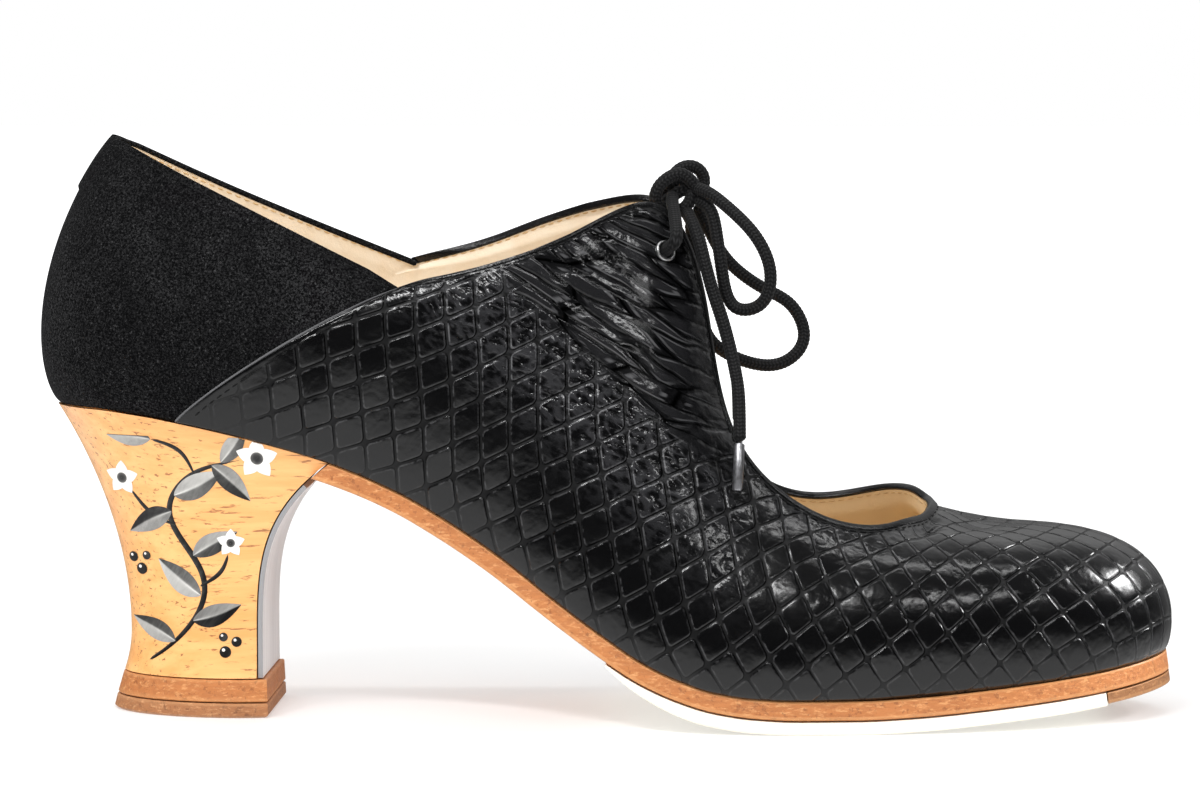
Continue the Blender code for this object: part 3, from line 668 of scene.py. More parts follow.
def scales_group():
    """Rounded boxes on a slanting lattice. Distance to the box edge gives the raised scale, the groove, a
    worn rim that also carries a painted highlight, and a painted shade line at its foot; Side is 1 on the
    lower right of each box, where the shade line lies and the highlight is weakest, and Tilt leans each
    box its own way."""
    tree, source, result = new_group(
        "scales",
        (("Lattice", VECTOR, None), ("Half", FLOAT, 0.435), ("Corner", FLOAT, 0.15)),
        ("Height", "Groove", "Rim", "Foot", "Side", "Cell", "Tilt"),
    )
    parts = split(source["Lattice"])
    core = source["Half"] - source["Corner"]
    inside = [calc("FRACT", parts[k]) for k in (0, 1)]
    over = [higher(abs(part - 0.5) - core, 0.0) for part in inside]
    outside = calc("SQRT", calc("POWER", over[0], 2.0) + calc("POWER", over[1], 2.0)) - source["Corner"]
    whole = joined(calc("FLOOR", parts[0]), calc("FLOOR", parts[1]))
    drawn = node(tree, "ShaderNodeTexWhiteNoise", {"Vector": whole}, noise_dimensions="2D")
    lean = node(tree, "ShaderNodeSeparateColor", {0: drawn["Color"]})
    tilts = [(inside[k] - 0.5) * (lean[k] - 0.5) for k in (0, 1)]
    feed(
        result,
        Height=span(outside, 0.035, -0.05),
        Groove=span(outside, -0.015, 0.025),
        Rim=span(outside, -0.075, -0.04) * span(outside, 0.005, -0.02),
        Foot=span(outside, -0.012, 0.012) * span(outside, 0.05, 0.022),
        Side=span(inside[0] + inside[1], 0.7, 1.3),
        Cell=drawn["Value"],
        Tilt=tilts[0] + tilts[1],
    )
    return tree


# Half width of a scale in steps of the lattice: wider towards the toe, between these places
HALF_FROM, HALF_TO = 15.0, 70.0
HALF_WAIST, HALF_TOE = 0.45, 0.465
# Small folds on the flap: slope in radians, length and width in metres
PLEAT_SLOPE, PLEAT_LENGTH, PLEAT_WIDTH = 0.54, 0.017, 0.0025


def pleats_group():
    """Long lens-shaped folds side by side along one slope, as cells stretched along it. Border is the
    distance to the line between two of them, and Line runs in streaks along them."""
    tree, source, result = new_group("pleats", (("Place", VECTOR, None),), ("Border", "Line"))
    parts = split(source["Place"])
    ahead, up = float(np.cos(PLEAT_SLOPE)), float(np.sin(PLEAT_SLOPE))
    along = parts[0] * ahead - parts[2] * up
    across = parts[0] * up + parts[2] * ahead
    sway = noise(source["Place"], 45.0, 2.0) * 2.4
    place = joined(along / PLEAT_LENGTH, across / PLEAT_WIDTH + sway)
    cell = {"Vector": place, "Scale": 1.0, "Randomness": 0.85}
    kind = {"feature": "DISTANCE_TO_EDGE", "voronoi_dimensions": "2D"}
    border = node(tree, "ShaderNodeTexVoronoi", cell, **kind)[0]
    feed(result, Border=border, Line=noise(placed(place, (0.8, 2.6, 1)), 1.0, 1.5, 0.5, 0.3))
    return tree


GRAIN = leather_grain_group()
FIBRE = fibre_group()
STREAK = streak_group()
SCALES = scales_group()
PLEATS = pleats_group()


def colour(red, green, blue):
    """Linear colour of an sRGB one given in 0 to 255."""
    share = np.array([red, green, blue]) / 255
    linear = np.where(share <= 0.04045, share / 12.92, ((share + 0.055) / 1.055) ** 2.4)
    return (*[float(value) for value in linear], 1.0)


def embossed_finish():
    """Glossy black scales with worn rims that carry a painted highlight, dull grooves and a painted shade
    line under their lower edges; crumpled near the flap with a painted sheen, and folded on it, with
    painted glints on the fold crests and painted shade in the slits between them."""
    material, tree, shader = new_material("embossed_leather", Coat_Roughness=0.12)
    place = here(tree)
    lattice = node(tree, "ShaderNodeUVMap", uv_map="lattice")[0]
    half = span(split(place)[0], HALF_FROM * MM, HALF_TO * MM, HALF_WAIST, HALF_TOE)
    scale = use(SCALES, Lattice=lattice, Half=half)
    pleat = use(PLEATS, Place=place)
    grain = use(GRAIN, Place=place, Scale=1100.0)
    crumple = attribute(tree, "crumple")
    fold = attribute(tree, "fold")
    shown = 1.0 - attribute(tree, "plain")
    groove = scale["Groove"] * shown
    drawn = placed(place, (1, 1, 1.7), (0, -0.58, 0))
    crease = abs(noise(drawn, 260.0, 2.0, 0.5, 0.5) - 0.5)
    creased = cells(drawn, 400.0) * 0.9 - crease * 2.6
    dome = span(pleat["Border"], 0.0, 0.4)
    dome = dome * (2.0 - dome)
    # Worn rims with a painted highlight: paler on the upper left of each scale than on its lower right, and
    # paler where crumpled
    lightness = scale["Rim"] * shown * (1.0 - scale["Side"] * 0.7)
    lightness = lightness * span(noise(place, 700.0, 2.0), 0.38, 0.62) * span(crumple, 0.0, 1.0, 0.2, 0.55)
    # Painted sheen on the crumpled creases and on the crowns of the folds
    painted_sheen = higher(span(creased, 0.05, 0.55) * crumple, span(dome, 0.5, 1.0, 0.0, 0.4) * fold)
    # Painted glints: thin pale lines along the fold crests
    crest_glint = span(pleat["Border"], 0.1, 0.15) * span(pleat["Border"], 0.24, 0.17)
    crest_glint = crest_glint * fold * span(pleat["Line"], 0.45, 0.65)
    # Painted shade: a dark line under the lower right edge of each scale
    foot = scale["Foot"] * shown * scale["Side"]
    # Painted shade in the slits between the flap's folds
    slit_shade = span(pleat["Border"], 0.06, 0.0) * fold
    # Both painted shade lines, under the scales and between the folds
    dark = higher(foot, slit_shade)
    tone = blend(groove, colour(7, 7, 8), colour(20, 20, 21))
    # The painted sheen lightens the tone
    tone = blend(painted_sheen * 0.7, tone, colour(50, 50, 52))
    tone = blend(lightness, tone, colour(120, 120, 122))
    # The painted glints lighten the tone
    tone = blend(crest_glint * 0.4, tone, colour(110, 110, 112))
    # A lighter cut edge along the lap, which also carries a painted highlight
    tone = blend(attribute(tree, "edge") * 0.7, tone, colour(130, 130, 132))
    # The painted shade lines darken the tone last
    tone = blend(dark, tone, colour(2, 2, 2))
    height = scale["Height"] * shown * (0.45 + scale["Tilt"] * 3.6) + creased * crumple
    height = height + (dome + pleat["Line"] * 0.25) * fold * 1.3
    height = height + noise(place, 240.0, 2.0, 0.5, 0.3) + grain["Height"] * 0.05
    feed(
        shader,
        Base_Color=tone,
        Roughness=0.17 + scale["Cell"] * 0.08 + groove * 0.3 - higher(crumple, fold) * 0.05,
        # The painted shade lines are metallic and near black, so they mirror nothing; the grooves are
        # partly metallic too
        Metallic=higher(dark, groove * 0.45),
        Coat_Weight=(1.0 - groove) * 0.15,
        Normal=bump(height, 0.00028),
    )
    return material


def smooth_leather_finish(name, base, dark, rough, low_shade):
    """Fine-grained leather of one colour with broad changes of tone, and a darker colour low in the shoe
    as painted shade.
    """
    material, tree, shader = new_material(name)
    place = here(tree)
    grain = use(GRAIN, Place=place, Scale=1300.0)
    tone = blend(span(grain["Tone"], 0.3, 0.7), dark, base)
    # Painted shade: darker low in the shoe, where little light reaches
    tone = blend(span(split(place)[2], 0.06, 0.04), tone, low_shade)
    gloss = rough + grain["Height"] * 0.12
    feed(shader, Base_Color=tone, Roughness=gloss, Normal=bump(grain["Height"], 0.00006))
    return material


def suede_finish():
    """Napped black leather: fibres catch the light, and the nap is paler where it was brushed."""
    material, tree, shader = new_material(
        "suede",
        Sheen_Weight=0.03,
        Sheen_Roughness=0.4,
        Sheen_Tint=colour(150, 150, 155),
        Specular_IOR_Level=0.1,
    )
    place = here(tree)
    fibre = use(FIBRE, Place=place, Scale=1900.0)
    nap = noise(place, 2300.0, 4.0, 0.75)
    brushed = noise(placed(place, (60, 60, 25), (0, 0.4, 0)), 1.0, 3.0, 0.55)
    tone = blend(span(nap, 0.44, 0.66), colour(1, 1, 2), colour(50, 50, 51))
    tone = blend(span(brushed, 0.3, 0.7, 0.65, 0.1), tone, colour(4, 4, 5))
    tone = blend(fibre["Fleck"] * 0.5, tone, colour(94, 94, 95))
    rough = span(brushed, 0.2, 0.8, 1.0, 0.86)
    feed(shader, Base_Color=tone, Roughness=rough, Normal=bump(fibre["Height"], 0.0002, 0.7))
    return material


def sole_finish(name, base, dark, pale, rough):
    """Cut edge of tan leather: packed fibres along the sole, pits and a thin waxed shine."""
    material, tree, shader = new_material(name, Coat_Roughness=0.3)
    place = here(tree)
    fibre = noise(placed(place, (0.3, 0.6, 1.0)), 1500.0, 4.0, 0.7)
    pit = noise(place, 900.0, 4.0, 0.7)
    layer = use(STREAK, Place=place, Scale=900.0, Stretch=9.0)
    tone = blend(span(layer["Line"], 0.3, 0.7, 0.3, 0.0), base, dark)
    tone = blend(span(fibre, 0.5, 0.68, 0.0, 0.65), tone, pale)
    tone = blend(span(pit, 0.46, 0.34, 0.0, 0.6), tone, dark)
    tone = blend(attribute(tree, "edge") * 0.5, tone, pale)
    coat = span(layer["Wave"], 0.3, 0.7, 0.1, 0.3)
    normal = bump(fibre + pit, 0.00016)
    feed(shader, Base_Color=tone, Roughness=rough + pit * 0.2, Coat_Weight=coat, Normal=normal)
    return material


def rubber_finish():
    """Matte white rubber with a slight warmth, fine moulding grain and a little soil."""
    material, tree, shader = new_material("white_rubber", Specular_IOR_Level=0.35)
    place = here(tree)
    grain = use(GRAIN, Place=place, Scale=1500.0)
    soil = noise(placed(place, (30, 30, 160)), 1.0, 4.0, 0.6)
    tone = blend(span(soil, 0.5, 0.8), colour(252, 247, 232), colour(244, 237, 218))
    rough = span(grain["Tone"], 0.3, 0.7, 0.55, 0.72)
    feed(shader, Base_Color=tone, Roughness=rough, Normal=bump(grain["Height"], 0.00005))
    return material


def wood_finish():
    """Varnished honey pine: growth bands along the shoe, short dark pores and a warm streak or two."""
    material, tree, shader = new_material("heel_wood", Coat_Roughness=0.14)
    place = placed(here(tree), turn=(0, 0.05, 0))
    band = use(STREAK, Place=place, Scale=260.0, Stretch=14.0)
    pore = use(STREAK, Place=place, Scale=1250.0, Stretch=9.0)
    tick = span(pore["Line"], 0.58, 0.66)
    tone = blend(span(band["Line"], 0.3, 0.7), colour(240, 170, 98), colour(253, 192, 122))
    tone = blend(span(band["Wave"], 0.5, 0.75, 0.0, 0.45), tone, colour(230, 146, 86))
    tone = blend(tick * 0.75, tone, colour(134, 70, 34))
    rough = span(pore["Line"], 0.3, 0.7, 0.36, 0.48)
    coat = span(band["Line"], 0.3, 0.7, 0.55, 0.4)
    normal = bump(band["Line"] * 0.4 - tick, 0.00003)
    feed(shader, Base_Color=tone, Roughness=rough, Coat_Weight=coat, Normal=normal)
    return material


def grey_cover_finish():
    """Pale grey cover with faint upright streaks and darker cut edges."""
    material, tree, shader = new_material("breast_grey")
    place = placed(here(tree), turn=(0, np.pi / 2, 0))
    streak = use(STREAK, Place=place, Scale=420.0, Stretch=16.0)
    tone = blend(span(streak["Line"], 0.3, 0.7), colour(236, 238, 241), colour(248, 250, 252))
    tone = blend(attribute(tree, "edge"), tone, colour(150, 150, 152))
    rough = span(streak["Wave"], 0.3, 0.7, 0.3, 0.42)
    feed(shader, Base_Color=tone, Roughness=rough, Normal=bump(streak["Line"], 0.00004))
    return material


def metal_finish(name, base, rough):
    """Plated metal with hair scratches and a dulled patch here and there."""
    material, tree, shader = new_material(name, Metallic=1.0)
    place = here(tree)
    scratch = use(STREAK, Place=place, Scale=3000.0, Stretch=20.0)
    dulled = tuple(0.6 * value for value in base[:3]) + (1.0,)
    tone = blend(span(noise(place, 900.0, 3.0), 0.4, 0.75), base, dulled)
    gloss = rough + scratch["Line"] * 0.14
    feed(shader, Base_Color=tone, Roughness=gloss, Normal=bump(scratch["Line"], 0.00001))
    return material


def cord_finish(name, base, pale):
    """Woven yarn: each rib of the braid is paler on its crown as a painted highlight, with stray fibres."""
    material, tree, shader = new_material(
        name, Sheen_Weight=0.05, Sheen_Roughness=0.5, Specular_IOR_Level=0.25
    )
    fibre = use(FIBRE, Place=here(tree), Scale=2600.0)
    # Painted highlight: paler on the crown of each rib
    tone = blend(span(attribute(tree, "rib"), 0.35, 0.95), base, pale)
    tone = blend(fibre["Fleck"] * 0.35, tone, pale)
    rough = span(fibre["Height"], 0.6, 1.4, 0.62, 0.8)
    feed(shader, Base_Color=tone, Roughness=rough, Normal=bump(fibre["Height"], 0.00006))
    return material


def paint_finish():
    """Hand-laid paint: its own tone on each stroke, broken by the marks of the brush."""
    material, tree, shader = new_material("sprig_paint", Specular_IOR_Level=0.4)
    mark = use(STREAK, Place=placed(here(tree), turn=(0, 0.9, 0)), Scale=900.0, Stretch=6.0)
    lightness = attribute(tree, "shade") + (mark["Line"] - 0.5) * 0.22
    tone = blend(span(lightness, 0.0, 1.0), colour(14, 14, 16), colour(246, 245, 240))
    rough = span(mark["Line"], 0.3, 0.7, 0.3, 0.5)
    feed(shader, Base_Color=tone, Roughness=rough, Normal=bump(mark["Line"], 0.00003))
    return material


EMBOSSED = embossed_finish()
SUEDE = suede_finish()
# The last colour of each smooth leather is its painted shade low in the shoe
BINDING = smooth_leather_finish(
    "binding_leather", colour(14, 14, 15), colour(8, 8, 9), 0.2, colour(10, 10, 11)
)
LINING = smooth_leather_finish(
    "lining_leather", colour(246, 233, 212), colour(240, 223, 198), 0.5, colour(238, 212, 170)
)
SOLE = sole_finish("sole_leather", colour(198, 124, 66), colour(134, 72, 32), colour(234, 172, 112), 0.4)
LIFT_BASE = sole_finish("lift_base", colour(178, 118, 72), colour(112, 66, 36), colour(222, 168, 118), 0.5)
TOE_LEATHER = sole_finish(
    "toe_leather", colour(160, 108, 64), colour(110, 66, 34), colour(205, 152, 100), 0.4
)
RUBBER = rubber_finish()
WOOD = wood_finish()
GREY = grey_cover_finish()
NICKEL = metal_finish("nickel", colour(214, 214, 214), 0.28)
GUNMETAL = metal_finish("gunmetal", colour(218, 218, 222), 0.36)
LACE = cord_finish("lace_weave", colour(2, 2, 3), colour(36, 36, 37))
BLACK_THREAD = cord_finish("black_thread", colour(10, 10, 11), colour(56, 56, 58))
BEIGE_THREAD = cord_finish("beige_thread", colour(214, 180, 130), colour(246, 226, 190))
PAINT = paint_finish()

# Camera, light and floor


def set_camera():
    """Looks across the outer side of the shoe, raised a little and turned a little towards the toe."""
    back = Vector(
        (
            np.sin(CAMERA_YAW) * np.cos(CAMERA_RISE),
            -np.cos(CAMERA_YAW) * np.cos(CAMERA_RISE),
            np.sin(CAMERA_RISE),
        )
    )
    lens = bpy.data.cameras.new("camera")
    lens.sensor_fit = "HORIZONTAL"
    lens.sensor_width = 36.0
    lens.lens = CAMERA_LENS
    camera = bpy.data.objects.new("camera", lens)
    camera.location = Vector(metres(CAMERA_TARGET)) + back * CAMERA_DISTANCE * MM
    camera.rotation_euler = back.to_track_quat("Z", "Y").to_euler()
    bpy.context.scene.collection.objects.link(camera)
    bpy.context.scene.camera = camera


def add_light(name, place, aim, size, power, mirrored=True, spread=180):
    """A soft box at a place in millimetres, turned to face another, and seen in gloss or not."""
    light = bpy.data.lights.new(name, "AREA")
    light.shape = "RECTANGLE"
    light.size, light.size_y = size
    light.spread = float(np.radians(spread))
    light.energy = power
    box = bpy.data.objects.new(name, light)
    box.location = metres(place)
    box.visible_glossy = mirrored
    box.rotation_euler = Vector(np.subtract(place, aim)).to_track_quat("Z", "Y").to_euler()
    bpy.context.scene.collection.objects.link(box)


def set_light():
    """A white studio: the camera sees plain white, and dull surfaces are lit evenly from all round. Glossy
    ones mirror a room that is dark round the horizon, with bright narrow boxes overhead."""
    world = bpy.data.worlds.new("studio")
    world.use_nodes = True
    tree = world.node_tree
    direction = split(node(tree, "ShaderNodeTexCoord")["Generated"])
    above = span(direction[2], 0.5, 0.95, 0.0, 0.08)
    below = span(direction[2], -0.1, -0.5, 0.0, 0.95)
    behind = span(direction[1], 0.2, 0.8) * span(direction[2], 0.0, 0.6, 0.14, 0.62)
    ray = node(tree, "ShaderNodeLightPath")
    soft = ray["Is Diffuse Ray"] * 0.74
    shown = higher(higher(above + below + behind + 0.02, soft), ray["Is Camera Ray"])
    grey = node(tree, "ShaderNodeCombineColor", {0: shown, 1: shown, 2: shown})[0]
    feed(tree.nodes["Background"].inputs, Color=grey)
    bpy.context.scene.world = world
    bpy.context.scene.view_settings.view_transform = "Standard"
    add_light("overhead", (0, 40, 900), (0, 0, 40), (1.0, 0.08), 2.0)
    add_light("front_key", (-260, -560, 760), (0, 0, 60), (0.5, 0.09), 4.4)
    add_light("side_key", (520, -620, 620), (20, 0, 70), (0.3, 0.06), 0.9)
    add_light("toe_glow", (167, -1, 66), (109, -17, 30), (0.05, 0.05), 0.008, spread=30)
    add_light("front_fill", (0, -1000, 420), (0, 0, 50), (1.2, 0.8), 1.9, False)
    add_light("toe_fill", (900, -250, 350), (0, 0, 50), (0.6, 0.6), 1.6, False)
    add_light("heel_fill", (-900, -300, 400), (-60, 0, 60), (0.6, 0.6), 0.9, False)
    add_light("back_fill", (0, 900, 600), (0, 0, 60), (0.9, 0.4), 1.5, False)


def make_floor():
    """A wide plain sheet that the shoe stands on. It glows a little near the shoe, which lightens its
    shadows as painted light, and glows white far out so that it has no horizon.
    """
    half = 6000.0
    points = [(-half, -half, 0), (half, -half, 0), (half, half, 0), (-half, half, 0)]
    mesh = bpy.data.meshes.new("floor")
    mesh.from_pydata(metres(points).tolist(), [], [(0, 1, 2, 3)])
    material, tree, shader = new_material(
        "floor_paper", Roughness=0.9, Specular_IOR_Level=0.1, Emission_Strength=1.0
    )
    place = here(tree)
    tone = blend(noise(place, 3.0, 2.0), (0.6, 0.6, 0.6, 1), (0.62, 0.62, 0.62, 1))
    far = node(tree, "ShaderNodeVectorMath", {0: place}, operation="LENGTH")["Value"]
    # Glow: weak near the shoe, where it lightens the shadows as painted light, and full white far out
    white = blend(span(far, 0.25, 1.1, 0.36, 1.0), (0, 0, 0, 1), (1, 1, 1, 1))
    feed(shader, Base_Color=tone, Emission_Color=white)
    mesh.materials.append(material)
    floor = bpy.data.objects.new("floor", mesh)
    floor.visible_glossy = False
    bpy.context.scene.collection.objects.link(floor)


# Lace

# Columns of yarn round the lace, the length of a stitch, its slant across a column in stitches, its height
YARN_COLUMNS = 12
STITCH = 0.8
STITCH_SLANT = 0.6
RIB_HEIGHT = 0.17
CORD_SIDES = 4 * YARN_COLUMNS
CORD_RING = STITCH / 4


def resample(route, step):
    """Evenly spaced points on the smooth curve through a route."""
    fine = curve_through(route, np.linspace(0, 1, 2000))
    length = run_length(fine)
    at = np.linspace(0, length[-1], max(8, int(length[-1] / step)))
    return read_along(at, length, fine), at


def carried(path, upright):
    """Two directions square to a path at each of its points; the second leans towards upright."""
    along = unit(np.gradient(path, axis=0))
    side = unit(np.cross(along, upright))
    return side, np.cross(side, along)


def cord_mesh(route, upright, radius=CORD / 2):
    """A round section carried along the route. Yarns stand in columns round it and slant left and right in
    turn: the radius follows a half wave along each slanting yarn, times an arch across its column. The two
    ends are rounded in."""
    path, length = resample(route, CORD_RING)
    side, up = carried(path, upright)
    turn = np.linspace(0, 2 * np.pi, CORD_SIDES, endpoint=False)
    column = np.arange(CORD_SIDES) * YARN_COLUMNS / CORD_SIDES
    across = np.mod(column, 1)
    slant = STITCH_SLANT * (across - 0.5) * np.where(np.floor(column) % 2 < 1, 1, -1)
    rib = np.abs(np.cos(np.pi * (length[:, None] / STITCH + slant))) * (0.5 + 0.5 * np.sin(np.pi * across))
    end = np.minimum(length, length[-1] - length)
    round_end = np.sqrt(np.clip(1 - (1 - np.clip(end / (0.7 * radius), 0, 1)) ** 2, 0.02, 1))
    reach = (radius + RIB_HEIGHT * (rib - 0.75)) * round_end[:, None]
    ring = np.cos(turn)[None, :, None] * side[:, None] + np.sin(turn)[None, :, None] * up[:, None]
    return path, path[:, None] + ring * reach[..., None], rib


def make_cord(name, routes, upright, stands_for):
    """One piece of braided lace through one or more routes."""
    points, faces, ribs, caps, first = [], [], [], [], 0
    for route in routes:
        path, grid, rib = cord_mesh(route, upright)
        rings = len(path)
        points.append(grid.reshape(-1, 3))
        faces.append(quads(rings, CORD_SIDES, wrap_columns=True) + first)
        caps += [[first + k for k in cap] for cap in end_caps(rings, CORD_SIDES)]
        ribs.append(rib.ravel())
        first += rings * CORD_SIDES
    # Rib heights, which the finish turns into a painted highlight on each crown
    values = {"rib": np.concatenate(ribs)}
    piece = put(
        name,
        np.concatenate(points),
        np.concatenate(faces),
        LACE,
        "lace_black",
        stands_for,
        caps=caps,
        values=values,
        sharp=None,
    )
    return piece, path


def make_free_laces(aglets):
    """The two loops and two ends of the bow, each a free cord from the knot."""
    for name, route in LACE_ROUTES.items():
        loop = "loop" in name
        upright = (0, 1, 0) if loop else (1, 0, 0)
        piece, path = make_cord(f"{name}_braid", [route], upright, [name])
        places = metres(path)
        places[::4].tolist() + [places[-1].tolist()]


def eyelet_place(side):
    """Centre on the flap's outside and the direction out of it."""
    at = np.array([EYELET_STATION if side < 0 else AROUND - EYELET_STATION])
    share = np.array([EYELET_ROW])
    outwards = wall_normal(at, share)[0]
    return wall_point(at, share)[0] + outwards * PANEL_LAP, outwards


# Turns of the knot as x, y and z: the near turn, the top turn, the tight turn inside them and its core
KNOT_TURNS = (
    (
        (13.2, -4.4, 106.8), (11.4, -6.2, 108.6), (10.9, -6.7, 110.4), (11.7, -6.6, 112.6),
        (13.7, -6.0, 114.5), (16.4, -5.0, 115.2), (18.6, -4.2, 113.6), (19.5, -3.7, 112.4),
    ),
    (
        (13.4, -2.6, 112.0), (14.6, -0.4, 114.8), (17.0, 1.2, 116.6), (19.6, 2.2, 116.2),
        (21.0, 2.8, 114.0), (20.6, 2.4, 111.2), (19.8, 1.0, 109.0),
    ),
    (
        (17.6, 0.2, 107.6), (14.0, 1.6, 107.4), (12.2, 1.0, 110.0), (13.4, -0.4, 112.8),
        (16.4, -1.6, 113.4), (18.4, -3.0, 111.2), (17.4, -4.0, 108.4), (14.6, -4.2, 107.2),
        (12.8, -3.4, 109.4),
    ),
    (
        (11.6, -1.4, 107.6), (13.2, -2.2, 109.4), (15.0, -2.6, 110.8), (16.8, -2.4, 111.8),
        (19.0, -1.6, 112.4),
    ),
)


def make_held_lace():
    """The run inside the flaps, out through both eyelets and up to the knot, and the knot's turns."""
    start, out_start = eyelet_place(-1)
    end, out_end = eyelet_place(1)
    run = (
        (15.0, -4.2, 110.4), (14.6, -7.2, 109.2),
        start + out_start * 3.2 + (0.8, 0, 2.6),
        start + out_start * 1.6 + (0.2, 0, 0.5),
        start - out_start * 1.0,
        start - out_start * 4.0 + (0, 1.0, -0.6),
        (start + end) / 2 + (-0.6, -4.0, -6.0),
        (start + end) / 2 + (-0.6, 4.0, -6.0),
        end - out_end * 4.0 + (0, -1.0, -0.6),
        end - out_end * 1.0,
        end + out_end * 1.6 + (0.2, 0, 0.5),
        end + out_end * 3.2 + (0.6, 0, 2.6),
        (12.6, 6.4, 110.6), (14.4, 2.2, 111.4),
    )
    make_cord("lace_run", [run], (1, 0, 0), ["lace_bar"])
    make_cord("knot_turns", KNOT_TURNS, (0.12, 1, 0.1), ["lace_knot"])


# Upper

# Stations where the panel and the collar behind it begin and end
FRONT_ENDS = (PANEL_AT + NUDGE, AROUND - PANEL_AT - NUDGE)
BACK_ENDS = (-PANEL_AT + NUDGE, PANEL_AT - NUDGE)

PANEL_COLUMNS = 720
PANEL_ROWS = 118
ROW_CROWD = 1.2
PATTERN_ROWS = 13
PATTERN_COLUMNS = 85
PATTERN_ROUNDS = 160
LAP_BEVEL = (0.034, 0.024, 0.01)
LAP_BEVEL_HEIGHT = (0.02, 0.5, 0.8)
# How far in the foot of the leather is turned, and the share of the wall that its middle line runs at
TURN_UNDER = 0.5
MIDDLE_SHARE = 0.35

# The scales' lattice on the outer side, in the plane seen from there: two steps, and where they start
SCALE_STEP = 6.1 + 2.68j
SCALE_DROP = 0.43 - 6.53j
SCALE_START = -24.8 + 62.7j
# The lattice turns gradually towards the toe: from this place on, over this length, by this angle
TURN_FROM = 8.0
TURN_OVER = 66.0
TURN_MOST = 0.5
TURN_LEVEL = 30.0
TURN_LIMIT = 24.0
REFERENCE_STATION = 7.0
REFERENCE_SHARE = 0.45
SCALE_DEPTH = 0.12
SCALE_CROWN = 0.05
SCALE_CORNER = 0.13

# Folds of the flap: middle, length, slope in degrees and width, seen from the side
Fold = namedtuple("Fold", "x z length slope width")
FOLDS = [
    Fold(*row)
    for row in (
        (-5.4, 98.0, 9.7, -26, 3.7),
        (2.2, 97.0, 14.6, -39, 1.8),
        (2.1, 101.1, 6.4, -23, 2.5),
        (2.9, 90.3, 19.8, -29, 3.3),
        (-9.6, 93.1, 9.0, -33, 3.3),
        (-17.2, 92.9, 7.4, -37, 4.1),
        (-10.6, 84.6, 9.7, -25, 1.6),
        (-5.4, 87.2, 11.7, -28, 2.5),
        (1.5, 80.9, 15.9, -25, 3.3),
        (4.5, 83.5, 10.6, -38, 2.3),
        (-7.4, 80.2, 10.8, -27, 2.5),
        (-2.4, 75.8, 13.3, -30, 2.0),
        (5.9, 73.6, 11.4, -33, 2.9),
        (3.1, 69.4, 7.9, -25, 2.5),
        (3.9, 67.9, 10.0, -17, 1.2),
        (7.9, 65.3, 6.5, -31, 1.6),
        (6.3, 97.1, 8.2, -30, 2.5),
        (12.5, 77.2, 6.9, -41, 2.0),
    )
]
FOLD_RISE = 0.12
FOLD_TROUGH = 0.08
# The slanting line where scales give way to folds: a point on it, and the direction towards the flap
FLAP_AT = (-17.8, 91.5)
FLAP_FACING = (0.674, 0.739)


def even_stations(start, end, count):
    """Stations that split the upper's middle line into equal lengths."""
    at = np.linspace(start, end, 1500)
    line = wall_point(at, np.full(len(at), MIDDLE_SHARE))
    length = run_length(line)
    return np.interp(np.linspace(0, length[-1], count), length, at)


def wall_grid(stations, shares, height):
    """Points of the upper on a grid, each moved out of it by its height."""
    at, share = np.meshgrid(stations, shares)
    height = np.broadcast_to(height, at.shape).ravel()
    points = wall_point(at.ravel(), share.ravel())
    points = points + wall_normal(at.ravel(), share.ravel()) * height[:, None]
    points = points.reshape(at.shape + (3,))
    foot = shares == 0
    points[foot, :, 2] = sole_line(points[foot, :, 0]) + GAP
    return points


def flat_pattern(points):
    """Lays a curved grid flat with as little stretch as it takes. Each triangle keeps its own shape and
    only turns, and the corners are then the places that suit all their triangles best, over and over."""
    rows, columns, _ = points.shape
    faces = quads(rows, columns)
    corners = np.concatenate([faces[:, [0, 1, 2]], faces[:, [0, 2, 3]]])
    solid = points.reshape(-1, 3)[corners]
    first, second = solid[:, 1] - solid[:, 0], solid[:, 2] - solid[:, 0]
    size = np.linalg.norm(first, axis=1)
    along = (first * second).sum(1) / size
    across = np.sqrt(np.maximum((second**2).sum(1) - along**2, 0))
    rest = np.stack([0 * size + 0j, size + 0j, along + 1j * across], axis=1)
    sides = np.roll(rest, -1, axis=1) - rest
    start, end = corners, np.roll(corners, -1, axis=1)
    count = rows * columns
    pull = np.zeros((count, count))
    for a, b, sign in ((start, start, 1), (end, end, 1), (start, end, -1), (end, start, -1)):
        np.add.at(pull, (a, b), sign)
    pull[0, 0] += 1
    settle = np.linalg.inv(pull)
    flat = (run_length(points, axis=1).mean(0) + 1j * run_length(points)).ravel()
    for _ in range(PATTERN_ROUNDS):
        turn = ((flat[end] - flat[start]) * sides.conj()).sum(1)
        wanted = (turn / np.abs(turn))[:, None] * sides
        right = np.zeros(count, complex)
        np.add.at(right, end, wanted)
        np.add.at(right, start, -wanted)
        flat = settle @ right
    return flat.reshape(rows, columns)


